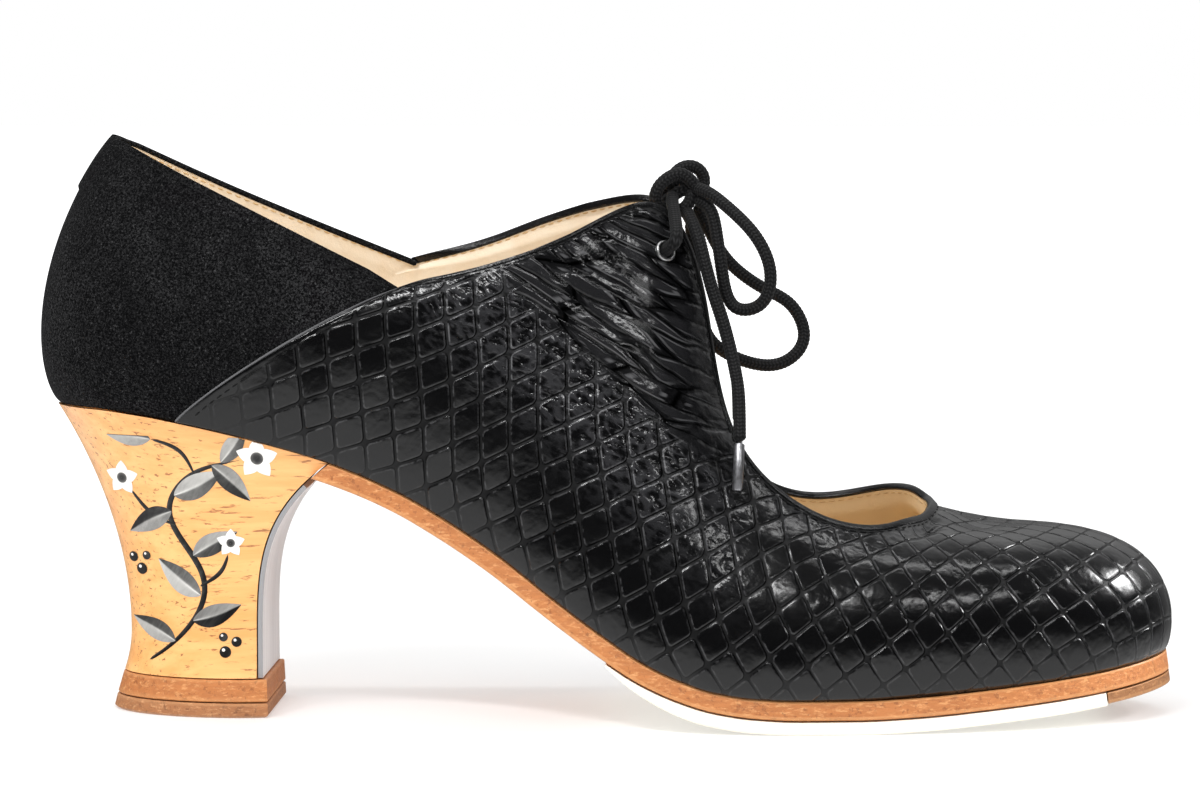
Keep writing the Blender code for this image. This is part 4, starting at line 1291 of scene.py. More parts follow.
def lattice_places(stations, shares):
    """Where each point of the panel lies on the lattice of scales, in whole and part steps."""
    pattern_at = np.linspace(*FRONT_ENDS, PATTERN_COLUMNS)
    pattern_share = np.linspace(0, 1, PATTERN_ROWS) ** ROW_CROWD
    flat = flat_pattern(wall_grid(pattern_at, pattern_share, PANEL_LAP))
    row = np.argmin(np.abs(pattern_share - REFERENCE_SHARE))
    column = np.argmin(np.abs(pattern_at - REFERENCE_STATION))
    solid = wall_grid(pattern_at[column : column + 2], pattern_share[row : row + 1], PANEL_LAP)[0]
    seen = solid[:, 0] + 1j * solid[:, 2]
    lean = np.angle(seen[1] - seen[0]) - np.angle(flat[row, column + 1] - flat[row, column])
    flat = (flat - flat[row, column]) * np.exp(1j * lean) + seen[0]
    column_at = np.interp(stations, pattern_at, np.arange(PATTERN_COLUMNS))
    row_at = shares ** (1 / ROW_CROWD) * (PATTERN_ROWS - 1)
    both = np.stack([flat.real, flat.imag], axis=-1)
    tall = natural_spline(both.reshape(PATTERN_ROWS, -1), row_at).reshape(len(shares), PATTERN_COLUMNS, 2)
    wide = natural_spline(np.swapaxes(tall, 0, 1).reshape(PATTERN_COLUMNS, -1), column_at)
    place = np.swapaxes(wide.reshape(len(stations), len(shares), 2), 0, 1)
    offset = place[..., 0] + 1j * place[..., 1] - SCALE_START
    ahead = np.clip(place[..., 0] - TURN_FROM, 0, TURN_OVER)
    turned_by = TURN_MOST * ahead / TURN_OVER
    beyond = np.clip(place[..., 0] - TURN_FROM - TURN_OVER, 0, None)
    aside = TURN_LIMIT * np.tanh((place[..., 1] - TURN_LEVEL) / TURN_LIMIT)
    offset += -turned_by * aside + 1j * turned_by * (ahead / 2 + beyond)
    span_area = (SCALE_STEP.conjugate() * SCALE_DROP).imag
    a = -(SCALE_DROP.conjugate() * offset).imag / span_area
    b = (SCALE_STEP.conjugate() * offset).imag / span_area
    wander = 0.07 * np.sin(0.9 * b + 0.5 * np.sin(0.7 * a))
    return np.stack([a + wander, b + 0.06 * np.sin(0.8 * a + 0.6 * np.sin(0.5 * b))], axis=-1)


def scale_relief(lattice, x):
    """Rounded boxes on the lattice: low in the grooves, level on the scale and slightly crowned."""
    off = np.abs(lattice - np.floor(lattice) - 0.5)
    half = np.interp(x, (HALF_FROM, HALF_TO), (HALF_WAIST, HALF_TOE))[..., None]
    outside = np.linalg.norm(np.maximum(off - half + SCALE_CORNER, 0), axis=-1) - SCALE_CORNER
    crown = 1 - 2 * (off**2).sum(-1)
    return SCALE_DEPTH * (ease(-outside, -0.045, 0.05) - 1) + SCALE_CROWN * (crown - 1)


def fold_relief(x, z):
    """Each fold is a low ridge with a narrowing end each way, and a thin trough along both sides."""
    height = np.zeros_like(x)
    for fold in FOLDS:
        slope = np.radians(fold.slope)
        along = ((x - fold.x) * np.cos(slope) + (z - fold.z) * np.sin(slope)) / (fold.length / 2)
        across = (z - fold.z) * np.cos(slope) - (x - fold.x) * np.sin(slope)
        taper = np.clip(1 - along**2, 0, 1)
        half = np.maximum(fold.width / 2 * taper**0.5, 0.05)
        ridge = FOLD_RISE * fold.width * taper * np.clip(1 - (across / half) ** 2, 0, 1)
        trough = FOLD_TROUGH * taper**0.5 * np.exp(-(((np.abs(across) - half) / 0.4) ** 2))
        height += ridge - trough
    return height


def flap_line(x, z):
    """Distance above the slanting line where scales give way to folds."""
    return (x - FLAP_AT[0]) * FLAP_FACING[0] + (z - FLAP_AT[1]) * FLAP_FACING[1]


def flap_share(x, z):
    """1 on the folded flap and 0 where the scales are plain, with a soft change along a slanting line."""
    return ease(flap_line(x, z), -2.0, 2.5) * ease(x, -26, -18) * (1 - ease(x, 22, 29))


def make_panel():
    """The embossed panel: lapped over the suede, scales and folds raised on it, rims turned under."""
    body = even_stations(*FRONT_ENDS, PANEL_COLUMNS)
    bevel = np.array(LAP_BEVEL)
    stations = np.concatenate([PANEL_AT - bevel, body, AROUND - PANEL_AT + bevel[::-1]])
    shares = np.linspace(0, 1, PANEL_ROWS) ** ROW_CROWD
    base = wall_grid(stations, shares, PANEL_LAP)
    x, z = base[..., 0], base[..., 2]
    up = run_length(base)
    from_top = up[-1] - up
    along = run_length(base, axis=1)
    from_lap = np.minimum(along, along[:, -1:] - along)
    lattice = lattice_places(stations, shares)
    flap = flap_share(x, z)
    calm = ease(from_top, 2.2, 3.0) * ease(from_lap, 2.4, 3.2)
    pressed = (0.4 + 0.6 * ease(up, 2, 10)) * (0.3 + 0.7 * ease(x, -76, -62))
    relief = calm * ((1 - flap) * pressed * scale_relief(lattice, x) + flap * fold_relief(x, z))
    lapped = np.full(len(stations), PANEL_LAP)
    lapped[: len(bevel)] = LAP_BEVEL_HEIGHT
    lapped[-len(bevel) :] = LAP_BEVEL_HEIGHT[::-1]
    grid = wall_grid(stations, shares, lapped[None, :] + relief)
    under = wall_grid(stations, shares[:1], -TURN_UNDER)
    points = np.concatenate([under, grid])
    front = ease(x, 14, 20) * ease(z, 50, 60)
    near_flap = ease(flap_line(x, z), -26, -3) * (1 - 0.6 * ease(x, 12, 22))
    near_flap = near_flap * (1 - ease(x, 24, 36)) * ease(x, -54, -34)
    near_top = (1 - ease(from_top, 4, 16)) * (1 - ease(x, 66, 80))
    crumple = (1 - flap) * np.maximum(1.4 * near_flap, 0.45 * near_top) + flap * (0.04 + 0.26 * front)
    values = {
        "plain": np.maximum(flap, 1 - calm * pressed),
        "fold": flap * (1 - 0.5 * front) * calm,
        "crumple": np.clip(crumple, 0, 1) * calm,
        # Lighter lap edge, which the finish also uses for a painted highlight
        "edge": 1 - ease(from_lap, 0.2, 0.5),
    }
    values = {key: np.concatenate([value[:1], value]) for key, value in values.items()}
    put(
        "embossed_panel",
        points,
        quads(len(shares) + 1, len(stations)),
        EMBOSSED,
        "embossed_black",
        ["upper"],
        maps={"lattice": np.concatenate([lattice[:1], lattice])},
        values=values,
        closed=False,
        sharp=None,
    )


COUNTER_REACH = 3.15
COUNTER_COLUMNS = 300
COUNTER_ROWS = 90


def make_counter():
    """The suede counter round the heel, with the raised tab at the back of its collar."""
    tab_edge = np.linspace(0.5, 0.6, 9)
    columns = np.linspace(-COUNTER_REACH, COUNTER_REACH, COUNTER_COLUMNS)
    stations = np.unique(np.concatenate([columns, tab_edge, -tab_edge]))
    rows = np.linspace(0, 1, COUNTER_ROWS) ** ROW_CROWD
    shares = np.unique(np.concatenate([rows, np.linspace(0.78, 0.82, 9)]))
    at, share = np.meshgrid(stations, shares)
    tab = (1 - ease(np.abs(at), 0.2, TAB_REACH + 0.2)) * ease(share, TAB_FROM - 0.008, TAB_FROM + 0.008)
    grid = wall_grid(stations, shares, TAB_LAP * tab)
    points = np.concatenate([wall_grid(stations, shares[:1], -TURN_UNDER), grid])
    put(
        "suede_counter",
        points,
        quads(len(shares) + 1, len(stations)),
        SUEDE,
        "embossed_black",
        ["upper"],
        closed=False,
        sharp=None,
    )


LINING_COLUMNS = 420
LINING_ROWS = 60
LINING_THICK = 0.5
RIM_DROP = 0.3
# Wall left at the rim, where its inside is skived: at the collar, and at the panel's own edge
RIM_COLLAR = 1.0
RIM_PANEL = 0.35
SKIVED = 6.0
# Share of the wall over which its direction at the rim is measured
RIM_PROBE = 0.03


def below_rim(at, drop):
    """Share of the wall that lies a drop in millimetres below its free edge."""
    ones = np.ones(len(at))
    per_share = np.linalg.norm(wall_point(at, ones) - wall_point(at, ones - RIM_PROBE), axis=1) / RIM_PROBE
    return 1 - drop / per_share


def inner_height(at, drop):
    """How far in the lining's face lies, at a drop below the rim: the wall thins smoothly towards it."""
    side = np.minimum(np.mod(at, AROUND), AROUND - np.mod(at, AROUND))
    rim = RIM_COLLAR + (RIM_PANEL - RIM_COLLAR) * ease(side, PANEL_AT - 0.05, PANEL_AT + 0.05)
    return -WALL + (WALL - rim) * (1 - ease(drop, 0, SKIVED))


def make_lining():
    """The beige lining: a thin closed ring inside the upper, a little lower than its rim."""
    back = even_stations(*BACK_ENDS, LINING_COLUMNS // 4)
    front = even_stations(*FRONT_ENDS, LINING_COLUMNS)
    stations = np.concatenate([back, front])
    top = below_rim(stations, RIM_DROP)
    level = (1 - (1 - np.linspace(0, 1, LINING_ROWS)) ** 1.5)[:, None] * top[None, :]
    at = np.broadcast_to(stations, level.shape).ravel()
    surface, outwards = wall_point(at, level.ravel()), wall_normal(at, level.ravel())
    drop = ((1 - level) / (1 - top) * RIM_DROP).ravel()
    face = inner_height(at, drop)
    shape = level.shape + (3,)
    sides = []
    for height in (face + LINING_THICK, face):
        side = (surface + outwards * height[:, None]).reshape(shape)
        side[0, :, 2] = sole_line(side[0, :, 0]) + GAP
        sides.append(side)
    points = np.concatenate([sides[0], sides[1][::-1]])
    put(
        "lining",
        points,
        quads(2 * LINING_ROWS, len(stations), wrap_rows=True, wrap_columns=True),
        LINING,
        "lining_leather",
        ["upper"],
        sharp=None,
    )


# Binding over the rim: legs down the outside and the inside, swell and rise
Binding = namedtuple("Binding", "name start end lap depth count material leg swell")
BINDING_LEG_IN = 0.5
BINDING_RISE = 0.25
BINDINGS = (
    Binding("panel_binding", *FRONT_ENDS, PANEL_LAP, RIM_PANEL, 900, BINDING, 1.4, 0.28),
    Binding("collar_binding", *BACK_ENDS, 0.0, RIM_COLLAR, 300, SUEDE, 0.4, 0.04),
)


def make_binding(row):
    """A strip folded over the free edge: its section, as (out of the wall, up it), is carried along the
    edge and laid in the wall's own directions."""
    stations = even_stations(row.start, row.end, row.count)
    ones = np.ones(row.count)
    rim = wall_point(stations, ones)
    outwards = wall_normal(stations, ones)
    up = unit(rim - wall_point(stations, ones - RIM_PROBE))
    outer, inner = row.lap + row.swell, -row.depth - 0.08
    middle = (outer + inner) / 2
    turn = np.linspace(0, np.pi, 11)
    section = [
        (row.lap - 0.1, -row.leg - 0.15),
        (row.lap + 0.8 * row.swell, -row.leg),
        (outer, -row.leg + 0.2),
    ]
    section += [(middle + (outer - middle) * np.cos(a), BINDING_RISE * np.sin(a)) for a in turn]
    section += [(inner, -BINDING_LEG_IN), (inner + 0.2, -BINDING_LEG_IN - 0.1)]
    section = np.array(section)
    points = rim[:, None] + outwards[:, None] * section[None, :, :1] + up[:, None] * section[None, :, 1:]
    put_rings(row.name, points, row.material, "embossed_black", ["upper"])


# Stitches: pitch, length, width and the step that gives the thread's direction, then how far the lining's
# rows lie below the rim and the lap's rows from its edge
STITCH_PITCH = 2.1
STITCH_LENGTH = 1.45
STITCH_WIDE = 0.36
STITCH_AHEAD = 0.2
LINING_STITCH_DROP = 1.3
LAP_STITCH_INSET = 1.9


def stitch_row(name, at, share, height, material, slot):
    """Stitches along a line on the upper. Each is a bead: a small ring carried along the thread, its
    radius following sqrt(1 - t^2), sunk by half into the leather."""
    line = wall_point(at, share) + wall_normal(at, share) * np.broadcast_to(height, at.shape)[:, None]
    facing = wall_normal(at, share) * np.sign(np.mean(height) + 0.1)
    length = run_length(line)
    middle = np.arange(STITCH_PITCH, length[-1] - STITCH_PITCH / 2, STITCH_PITCH)
    centre = read_along(middle, length, line)
    along = unit(read_along(middle + STITCH_AHEAD, length, line) - centre)
    out = unit(read_along(middle, length, facing))
    side = np.cross(along, out)
    t = np.sin(np.linspace(-np.pi / 2, np.pi / 2, 7)) * 0.995
    turn = np.linspace(0, 2 * np.pi, 6, endpoint=False)
    radius = STITCH_WIDE / 2 * np.sqrt(1 - t**2)
    ring = side[:, None, None] * np.cos(turn)[:, None] + out[:, None, None] * np.sin(turn)[:, None]
    thread = along[:, None, None] * (t * STITCH_LENGTH / 2)[:, None, None]
    points = centre[:, None, None] + thread + ring * radius[:, None, None]
    each = len(t) * len(turn)
    start = (np.arange(len(middle)) * each)[:, None, None]
    faces = (quads(len(t), len(turn), wrap_columns=True)[None] + start).reshape(-1, 4)
    put(name, points, faces, material, slot, closed=False, sharp=None)


def make_stitches():
    """Rows beside the collar, the panel's lap and its top edge, and inside on the lining."""
    collar = np.linspace(-PANEL_AT + 0.03, PANEL_AT - 0.03, 900)
    front = np.linspace(PANEL_AT + 0.12, AROUND - PANEL_AT - 0.12, 3000)
    for name, at, drop, height in (("collar", collar, 1.6, 0.03), ("panel", front, 2.2, PANEL_LAP)):
        stitch_row(f"{name}_stitches", at, below_rim(at, drop), height, BLACK_THREAD, "embossed_black")
        inside = below_rim(at, LINING_STITCH_DROP)
        face = inner_height(at, LINING_STITCH_DROP)
        stitch_row(f"{name}_lining_stitches", at, inside, face, BEIGE_THREAD, "lining_leather")
    share = np.linspace(0.03, 0.965, 700)
    probe = 0.05
    for name, start, side in (("lateral", PANEL_AT, 1), ("medial", AROUND - PANEL_AT, -1)):
        edge = np.full(len(share), start + side * NUDGE * 2)
        step = wall_point(edge + side * probe, share) - wall_point(edge, share)
        at = edge + side * LAP_STITCH_INSET * probe / np.linalg.norm(step, axis=1)
        stitch_row(f"lap_stitches_{name}", at, share, PANEL_LAP + 0.06, BLACK_THREAD, "embossed_black")


# Sole


def outline(proud):
    """The foot line moved out by proud, as an outer and an inner half from the heel's back to the toe."""
    at = np.linspace(0, AROUND, OUTLINE_SAMPLES, endpoint=False)
    line = foot_line(at) + foot_normal(at) * proud
    line = np.roll(line, -np.argmin(line[:, 0]), axis=0)
    toe = np.argmax(line[:, 0])
    return line[: toe + 1], line[toe:][::-1]


def half_widths(x, proud):
    """Outer and inner edge of the foot line, moved out by proud, at places along the shoe."""
    outer, inner = outline(proud)
    return np.interp(x, outer[:, 0], outer[:, 1]), np.interp(x, inner[:, 0], inner[:, 1])


def line_ends(proud):
    """The back and the front of the foot line moved out by proud, short of the last point by a hair."""
    outer, _ = outline(proud)
    return outer[0, 0] + TIP_CLEAR, outer[-1, 0] - TIP_CLEAR


def crowded(start, end, count, both=False):
    """Places that crowd towards the end, where the outline turns across the shoe, or towards both ends."""
    turn = np.sin(np.linspace(-np.pi / 2 if both else 0, np.pi / 2, count))
    return start + (end - start) * (turn - turn[0]) / (1 - turn[0])


def along_normal(x, depth):
    """The point that lies depth below the sole line, square to it."""
    slope = sole_slope(x)
    size = np.sqrt(1 + slope**2)
    return x + depth * slope / size, sole_line(x) - depth / size


TOP_BEVEL = 0.3
LOW_ROUND = 0.8
FACE_INSET = 1.6
EDGE_FADE = 0.22
ROUND_SHARE = 0.4


def layer_profile(thick, bevel, corner):
    """Half section of a layer from the middle of its top to the middle of its underside, as depth,
    inset from the edge and how pale it is: a bevel above and a round below, with the side between."""
    low = thick - corner
    return (
        (0 * thick, bevel + FACE_INSET, 0.0),
        (0 * thick, bevel, 0.9),
        (bevel, 0 * thick, 0.9),
        (bevel + EDGE_FADE * thick / SOLE_THICK, 0 * thick, 0.0),
        (thick / 2, 0 * thick, 0.0),
        (low - EDGE_FADE * thick / SOLE_THICK, 0 * thick, 0.0),
        (low, 0 * thick, 0.7),
        (low + 0.7 * corner, 0.3 * corner, 0.7),
        (thick, corner, 0.3),
        (thick, corner + FACE_INSET, 0.0),
    )


def make_layer(name, x, top, thick, proud, material, slot, floor=None, tail=None, bevel=TOP_BEVEL):
    """A layer of the sole: its section, carried along the shoe square to the sole line."""
    outer, inner = half_widths(x, proud)
    thick = np.broadcast_to(thick, x.shape).astype(float)
    bevel = np.minimum(bevel, 0.15 * thick)
    corner = np.minimum(LOW_ROUND, ROUND_SHARE * thick)
    near, far, pale = [], [], []
    for depth, inset, light in layer_profile(thick, bevel, corner):
        px, pz = along_normal(x, top + depth)
        if tail is not None:
            px, pz = px + tail[0] * depth / thick, pz + tail[1] * depth / thick
        if floor is not None:
            pz = np.maximum(pz, floor)
        room = np.minimum(inset, ROUND_SHARE * (inner - outer))
        near.append((px, outer + room, pz))
        far.append((px, inner - room, pz))
        pale.append(light)
    put_section(name, near, far, pale, material, slot)


def breast(level):
    """The front of the heel at a level from its foot, 0, to the lip under the foot, 1."""
    height = LIFT_HEIGHT + GAP + (sole_line(HEEL_FRONT_TOP) - LIFT_HEIGHT - GAP) * level
    spread = np.clip((level - WAIST_LEVEL) / (1 - WAIST_LEVEL), 0, 1) ** BREAST_CURVE
    return WAIST_FRONT + (HEEL_FRONT_TOP - WAIST_FRONT) * spread, height


def make_soles():
    """Outsole, white half sole, toe tip and insole, each a layer along the sole line."""
    back = HEEL_FRONT_TOP + GAP
    x = crowded(back, line_ends(SOLE_PROUD)[1], 240)
    tail_x, tail_z = breast(SOLE_TAIL)
    plain_x, plain_z = along_normal(np.array([back]), SOLE_THICK)
    fade = np.clip(1 - (x - back) / TAIL_FADE, 0, 1) ** 2
    tail = ((tail_x + WIDE_GAP - plain_x) * fade, (tail_z - plain_z) * fade)
    make_layer("outsole", x, 0.0, SOLE_THICK, SOLE_PROUD, SOLE, "sole_leather", tail=tail)
    top = SOLE_THICK + GAP
    proud = SOLE_PROUD - RUBBER_INSET
    x = np.linspace(RUBBER_BACK, RUBBER_FRONT, 160)
    share = np.clip((x - RUBBER_BACK) / (RUBBER_FULL - RUBBER_BACK), 0, 1)
    thick = RUBBER_EDGE + (RUBBER_THICK - RUBBER_EDGE) * share * (2 - share)
    make_layer("rubber_forepart", x, top, thick, proud, RUBBER, "white_rubber", floor=0.0, bevel=0.1)
    x = crowded(RUBBER_FRONT + GAP, line_ends(proud)[1], 60)
    make_layer("toe_piece", x, top, TOE_PIECE_THICK, proud, TOE_LEATHER, "sole_leather", bevel=0.1)
    proud = -WALL - INSOLE_CLEAR
    x = crowded(*line_ends(proud), 160, both=True)
    make_layer("insole", x, -GAP - INSOLE_THICK, INSOLE_THICK, proud, LINING, "lining_leather")


# Heel

HEEL_SIDE = 70
HEEL_LEVELS = 90


def heel_outline(x, back, front, widest, half, half_front):
    """Half width of a D seen from above: rounded behind its widest place, drawn in a little in front."""
    behind = np.clip((widest - x) / (widest - back), 0, 1)
    ahead = np.clip((x - widest) / (front - widest), 0, 1)
    return np.where(
        x < widest,
        half * (1 - behind**ROUND_POWER) ** (1 / ROUND_POWER),
        half - (half - half_front) * ahead**2,
    )


SEAT_BACK = line_ends(HEEL_PROUD)[0]
SEAT_OUTER, SEAT_INNER = outline(HEEL_PROUD)
FOOT_LEVEL = LIFT_HEIGHT + GAP


def heel_skin(turn, level):
    """The heel's outer and inner half. Turn runs from the breast, 0, round to the back, 1, and level from
    the foot to the seat: the narrow waist's outline grows into the seat's as a power of the level."""
    share = np.sin(turn * np.pi / 2)
    seat_x = HEEL_FRONT_TOP + (SEAT_BACK - HEEL_FRONT_TOP) * share
    waist_x = WAIST_FRONT + (WAIST_BACK - WAIST_FRONT) * share
    seat_out = np.interp(seat_x, SEAT_OUTER[:, 0], SEAT_OUTER[:, 1])
    seat_in = np.interp(seat_x, SEAT_INNER[:, 0], SEAT_INNER[:, 1])
    waist_half = heel_outline(waist_x, WAIST_BACK, WAIST_FRONT, WAIST_WIDEST, WAIST_HALF, WAIST_HALF_FRONT)
    power = BREAST_CURVE + (BACK_CURVE - BREAST_CURVE) * turn
    spread = np.clip((level - WAIST_LEVEL) / (1 - WAIST_LEVEL), 0, 1) ** power
    foot = FOOT_FLARE * np.clip(1 - level / WAIST_LEVEL, 0, 1) ** 2
    x = waist_x + (seat_x - waist_x) * spread + foot * (waist_x - WAIST_FRONT)
    z = FOOT_LEVEL + (sole_line(seat_x) - FOOT_LEVEL) * level
    outer = -waist_half * (1 + foot) + (seat_out + waist_half) * spread
    inner = waist_half * (1 + foot) + (seat_in - waist_half) * spread
    return np.stack([x, outer, z], -1), np.stack([x, inner, z], -1)


def make_heel():
    """The wooden heel: rings round it from foot to seat."""
    turn, level = np.meshgrid(np.linspace(0, 1, HEEL_SIDE + 1), np.linspace(0, 1, HEEL_LEVELS))
    outer, inner = heel_skin(turn, level)
    back = (outer[:, -1:] + inner[:, -1:]) / 2
    rings = np.concatenate([outer[:, :-1], back, inner[:, -2::-1]], axis=1)
    put_rings("heel_finished", rings, WOOD, "heel_wood", ["heel"])


def make_breast_cover():
    """A thin sheet that follows the heel's front face up to the outsole, with its front edges broken."""
    levels = np.linspace(0, COVER_TOP, 80)
    x, z = breast(levels)
    next_x, next_z = breast(levels + LEVEL_STEP)
    size = np.hypot(next_x - x, next_z - z)
    out_x, out_z = (next_z - z) / size, (x - next_x) / size
    spread = np.clip((levels - WAIST_LEVEL) / (1 - WAIST_LEVEL), 0, 1) ** BREAST_CURVE
    outer_top, inner_top = half_widths(np.array([HEEL_FRONT_TOP]), HEEL_PROUD)
    outer = -WAIST_HALF_FRONT + (outer_top + WAIST_HALF_FRONT) * spread
    inner = WAIST_HALF_FRONT + (inner_top - WAIST_HALF_FRONT) * spread
    front = GAP + COVER_THICK
    profile = (
        (GAP, 0.0, 1.0),
        (front - 0.2, 0.0, 1.0),
        (front, 0.2, 0.8),
        (front, 0.6, 0.0),
        (front, 4.0, 0.0),
    )
    near = [(x + d * out_x, outer + inset, z + d * out_z) for d, inset, _ in profile]
    far = [(x + d * out_x, inner - inset, z + d * out_z) for d, inset, _ in profile]
    pale = [light for _, _, light in profile]
    put_section("breast_cover", near, far, pale, GREY, "breast_grey")


# Outline of the lift at heights above the floor
LiftLevel = namedtuple("LiftLevel", "height back front half half_front")
LIFT_LEVELS = (
    LiftLevel(0.0, -105.6, -71.2, 18.0, 17.2),
    LiftLevel(BASE_BEVEL, -106.0, -70.9, 18.3, 17.5),
    LiftLevel(BASE_HEIGHT, -105.3, -71.0, 18.0, 17.3),
    LiftLevel(LIFT_HEIGHT, -103.9, -71.2, 17.4, 16.9),
)


def lift_ring(height, inset):
    """The lift's D-shaped outline at a height, drawn in by an inset."""
    table = np.array(LIFT_LEVELS)
    back, front, half, half_front = (np.interp(height, table[:, 0], table[:, k]) for k in range(1, 5))
    x = crowded(front - inset, back + inset, HEEL_SIDE + 1)
    y = heel_outline(x, back + inset, front - inset, WAIST_WIDEST, half - inset, half_front - inset)
    outer = np.stack([x, -y, 0 * x + height], -1)
    inner = np.stack([x, y, 0 * x + height], -1)
    return np.concatenate([outer, inner[-2::-1]])


def make_lifts():
    """The two layers under the heel, each a stack of outlines with broken edges."""
    bevel = 0.25
    top = BASE_HEIGHT - GAP
    base_levels = [(0.0, 0.5), (0.3, 0.12), (BASE_BEVEL, 0.0), (1.2, 0.0), (2.3, 0.0)]
    base_levels += [(top - bevel, 0.0), (top, bevel)]
    lift_levels = [(BASE_HEIGHT, bevel), (BASE_HEIGHT + bevel, 0.0), (4.6, 0.0), (6.2, 0.0), (7.4, 0.0)]
    lift_levels += [(LIFT_HEIGHT - bevel, 0.0), (LIFT_HEIGHT, bevel)]
    layers = (
        ("heel_lift_base", LIFT_BASE, "lift_base", base_levels),
        ("heel_lift", SOLE, "sole_leather", lift_levels),
    )
    for name, material, slot, levels in layers:
        rings = np.array([lift_ring(height, inset) for height, inset in levels])
        pale = np.zeros(len(levels))
        pale[[0, 1, -2, -1]] = 0.6
        edge = np.repeat(pale, rings.shape[1])
        put_rings(f"{name}_finished", rings, material, slot, [name], values={"edge": edge}, sharp=0.5)


# Painted sprig on the heel, in millimetres along the shoe and up, seen from the side
Stem = namedtuple("Stem", "route wide shade")
Leaf = namedtuple("Leaf", "x z length angle wide bend shade")
Dot = namedtuple("Dot", "x z radius shade")
STEMS = (
    Stem(
        ((-97, 11.5), (-91, 16), (-85.5, 23), (-85, 31), (-90, 39), (-91.5, 46), (-86, 52.5), (-76, 55.5)),
        1.3,
        0.06,
    ),
    Stem(((-85.3, 28), (-81, 31), (-79.2, 35)), 0.9, 0.06),
    Stem(((-90.4, 41), (-96, 43.5), (-100.5, 48.5)), 0.9, 0.06),
    Stem(((-86, 52.5), (-89, 57.5), (-95, 59.8)), 0.9, 0.06),
)
LEAVES = (
    Leaf(-91, 16, 11, 150, 2.2, 1.2, 0.42),
    Leaf(-87, 20.5, 11, 12, 2.3, 1.4, 0.26),
    Leaf(-85.2, 26, 12, 148, 2.5, -1.4, 0.5),
    Leaf(-86.8, 34.5, 11, 35, 2.3, -1.2, 0.36),
    Leaf(-91.3, 44, 11, 200, 2.4, 1.3, 0.3),
    Leaf(-90.6, 47.5, 12, 20, 2.6, 1.5, 0.5),
    Leaf(-82, 54.3, 11, -38, 2.3, -1.2, 0.32),
    Leaf(-80, 55, 10, 48, 2.0, 1.0, 0.46),
    Leaf(-95, 59.8, 10, 172, 2.1, 0.8, 0.4),
)
DAISIES = (Dot(-72.2, 56.0, 4.6, 0.97), Dot(-102.3, 50.8, 3.9, 0.92), Dot(-78.6, 37.4, 3.1, 0.95))
BERRIES = (
    Dot(-80.0, 14.0, 1.25, 0.06),
    Dot(-77.6, 16.2, 1.1, 0.06),
    Dot(-80.4, 17.2, 0.95, 0.1),
    Dot(-98.6, 31.0, 1.25, 0.06),
    Dot(-100.6, 33.4, 1.1, 0.06),
    Dot(-97.4, 34.0, 0.95, 0.1),
)
PETALS = 5
PAINT_THICK = 0.05
PAINT_STEP = 0.002
PAINT_PROBE = 0.05
# Highest level that paint is laid at
PAINT_TOP = 60.5


def heel_at(x, z, side):
    """The heel's surface where a level line across the shoe at x and z meets it, found by halving."""
    low, high = np.zeros_like(x), np.ones_like(x)
    for _ in range(26):
        turn = (low + high) / 2
        seat_x = HEEL_FRONT_TOP + (SEAT_BACK - HEEL_FRONT_TOP) * np.sin(turn * np.pi / 2)
        level = (z - FOOT_LEVEL) / (sole_line(seat_x) - FOOT_LEVEL)
        skins = heel_skin(turn, np.clip(level, 0, 1))
        ahead = skins[0][..., 0] > x
        low, high = np.where(ahead, turn, low), np.where(ahead, high, turn)
    return skins[0] if side < 0 else skins[1]


def stroke(route, wide, shade):
    """A ribbon along a route: its width swells from the ends, its tone darker along one side."""
    share = np.linspace(0, 1, 60)
    line = curve_through(route, share)
    ahead = unit(np.gradient(line, axis=0))
    across = np.stack([-ahead[:, 1], ahead[:, 0]], axis=1)
    ends = ease(share, 0, 0.02) * (1 - 0.9 * ease(share, 0.9, 1))
    half = wide / 2 * (0.45 + 0.55 * np.sin(np.pi * share)) * ends
    v = np.linspace(-1, 1, 5)
    points = line[:, None] + across[:, None] * (half[:, None] * v)[..., None]
    return points, np.broadcast_to(shade + 0.06 * v, (len(share), len(v)))


def leaf(row):
    """An almond shape along a bent axis, pale along its rib and darker on one half."""
    share = np.linspace(0, 1, 40)
    angle = np.radians(row.angle)
    ahead, across = np.array([np.cos(angle), np.sin(angle)]), np.array([-np.sin(angle), np.cos(angle)])
    v = np.linspace(-1, 1, 13)
    half = row.wide * np.sin(np.pi * share**0.8) ** 0.9
    offset = row.bend * share**2
    line = np.array([row.x, row.z]) + share[:, None] * row.length * ahead + offset[:, None] * across
    points = line[:, None] + across * (half[:, None] * v)[..., None]
    rib = np.exp(-((v / 0.12) ** 2))[None, :] * (1 - share[:, None])
    tone = 0.7 * row.shade + 0.2 * np.sign(v)[None, :] * (0.4 + 0.6 * share[:, None]) + 0.4 * rib
    return points, tone


def disc(x, z, radius, shade, rim=0.0):
    """A round dab of paint, as a fan of rings, with its tone changed towards the rim."""
    r = np.linspace(0.02, 1, 6)[:, None]
    turn = np.linspace(0, 2 * np.pi, 25)[None, :]
    points = np.stack([x + radius * r * np.cos(turn), z + radius * r * np.sin(turn)], -1)
    return points[:, ::-1], shade + rim * r**2 + 0 * turn


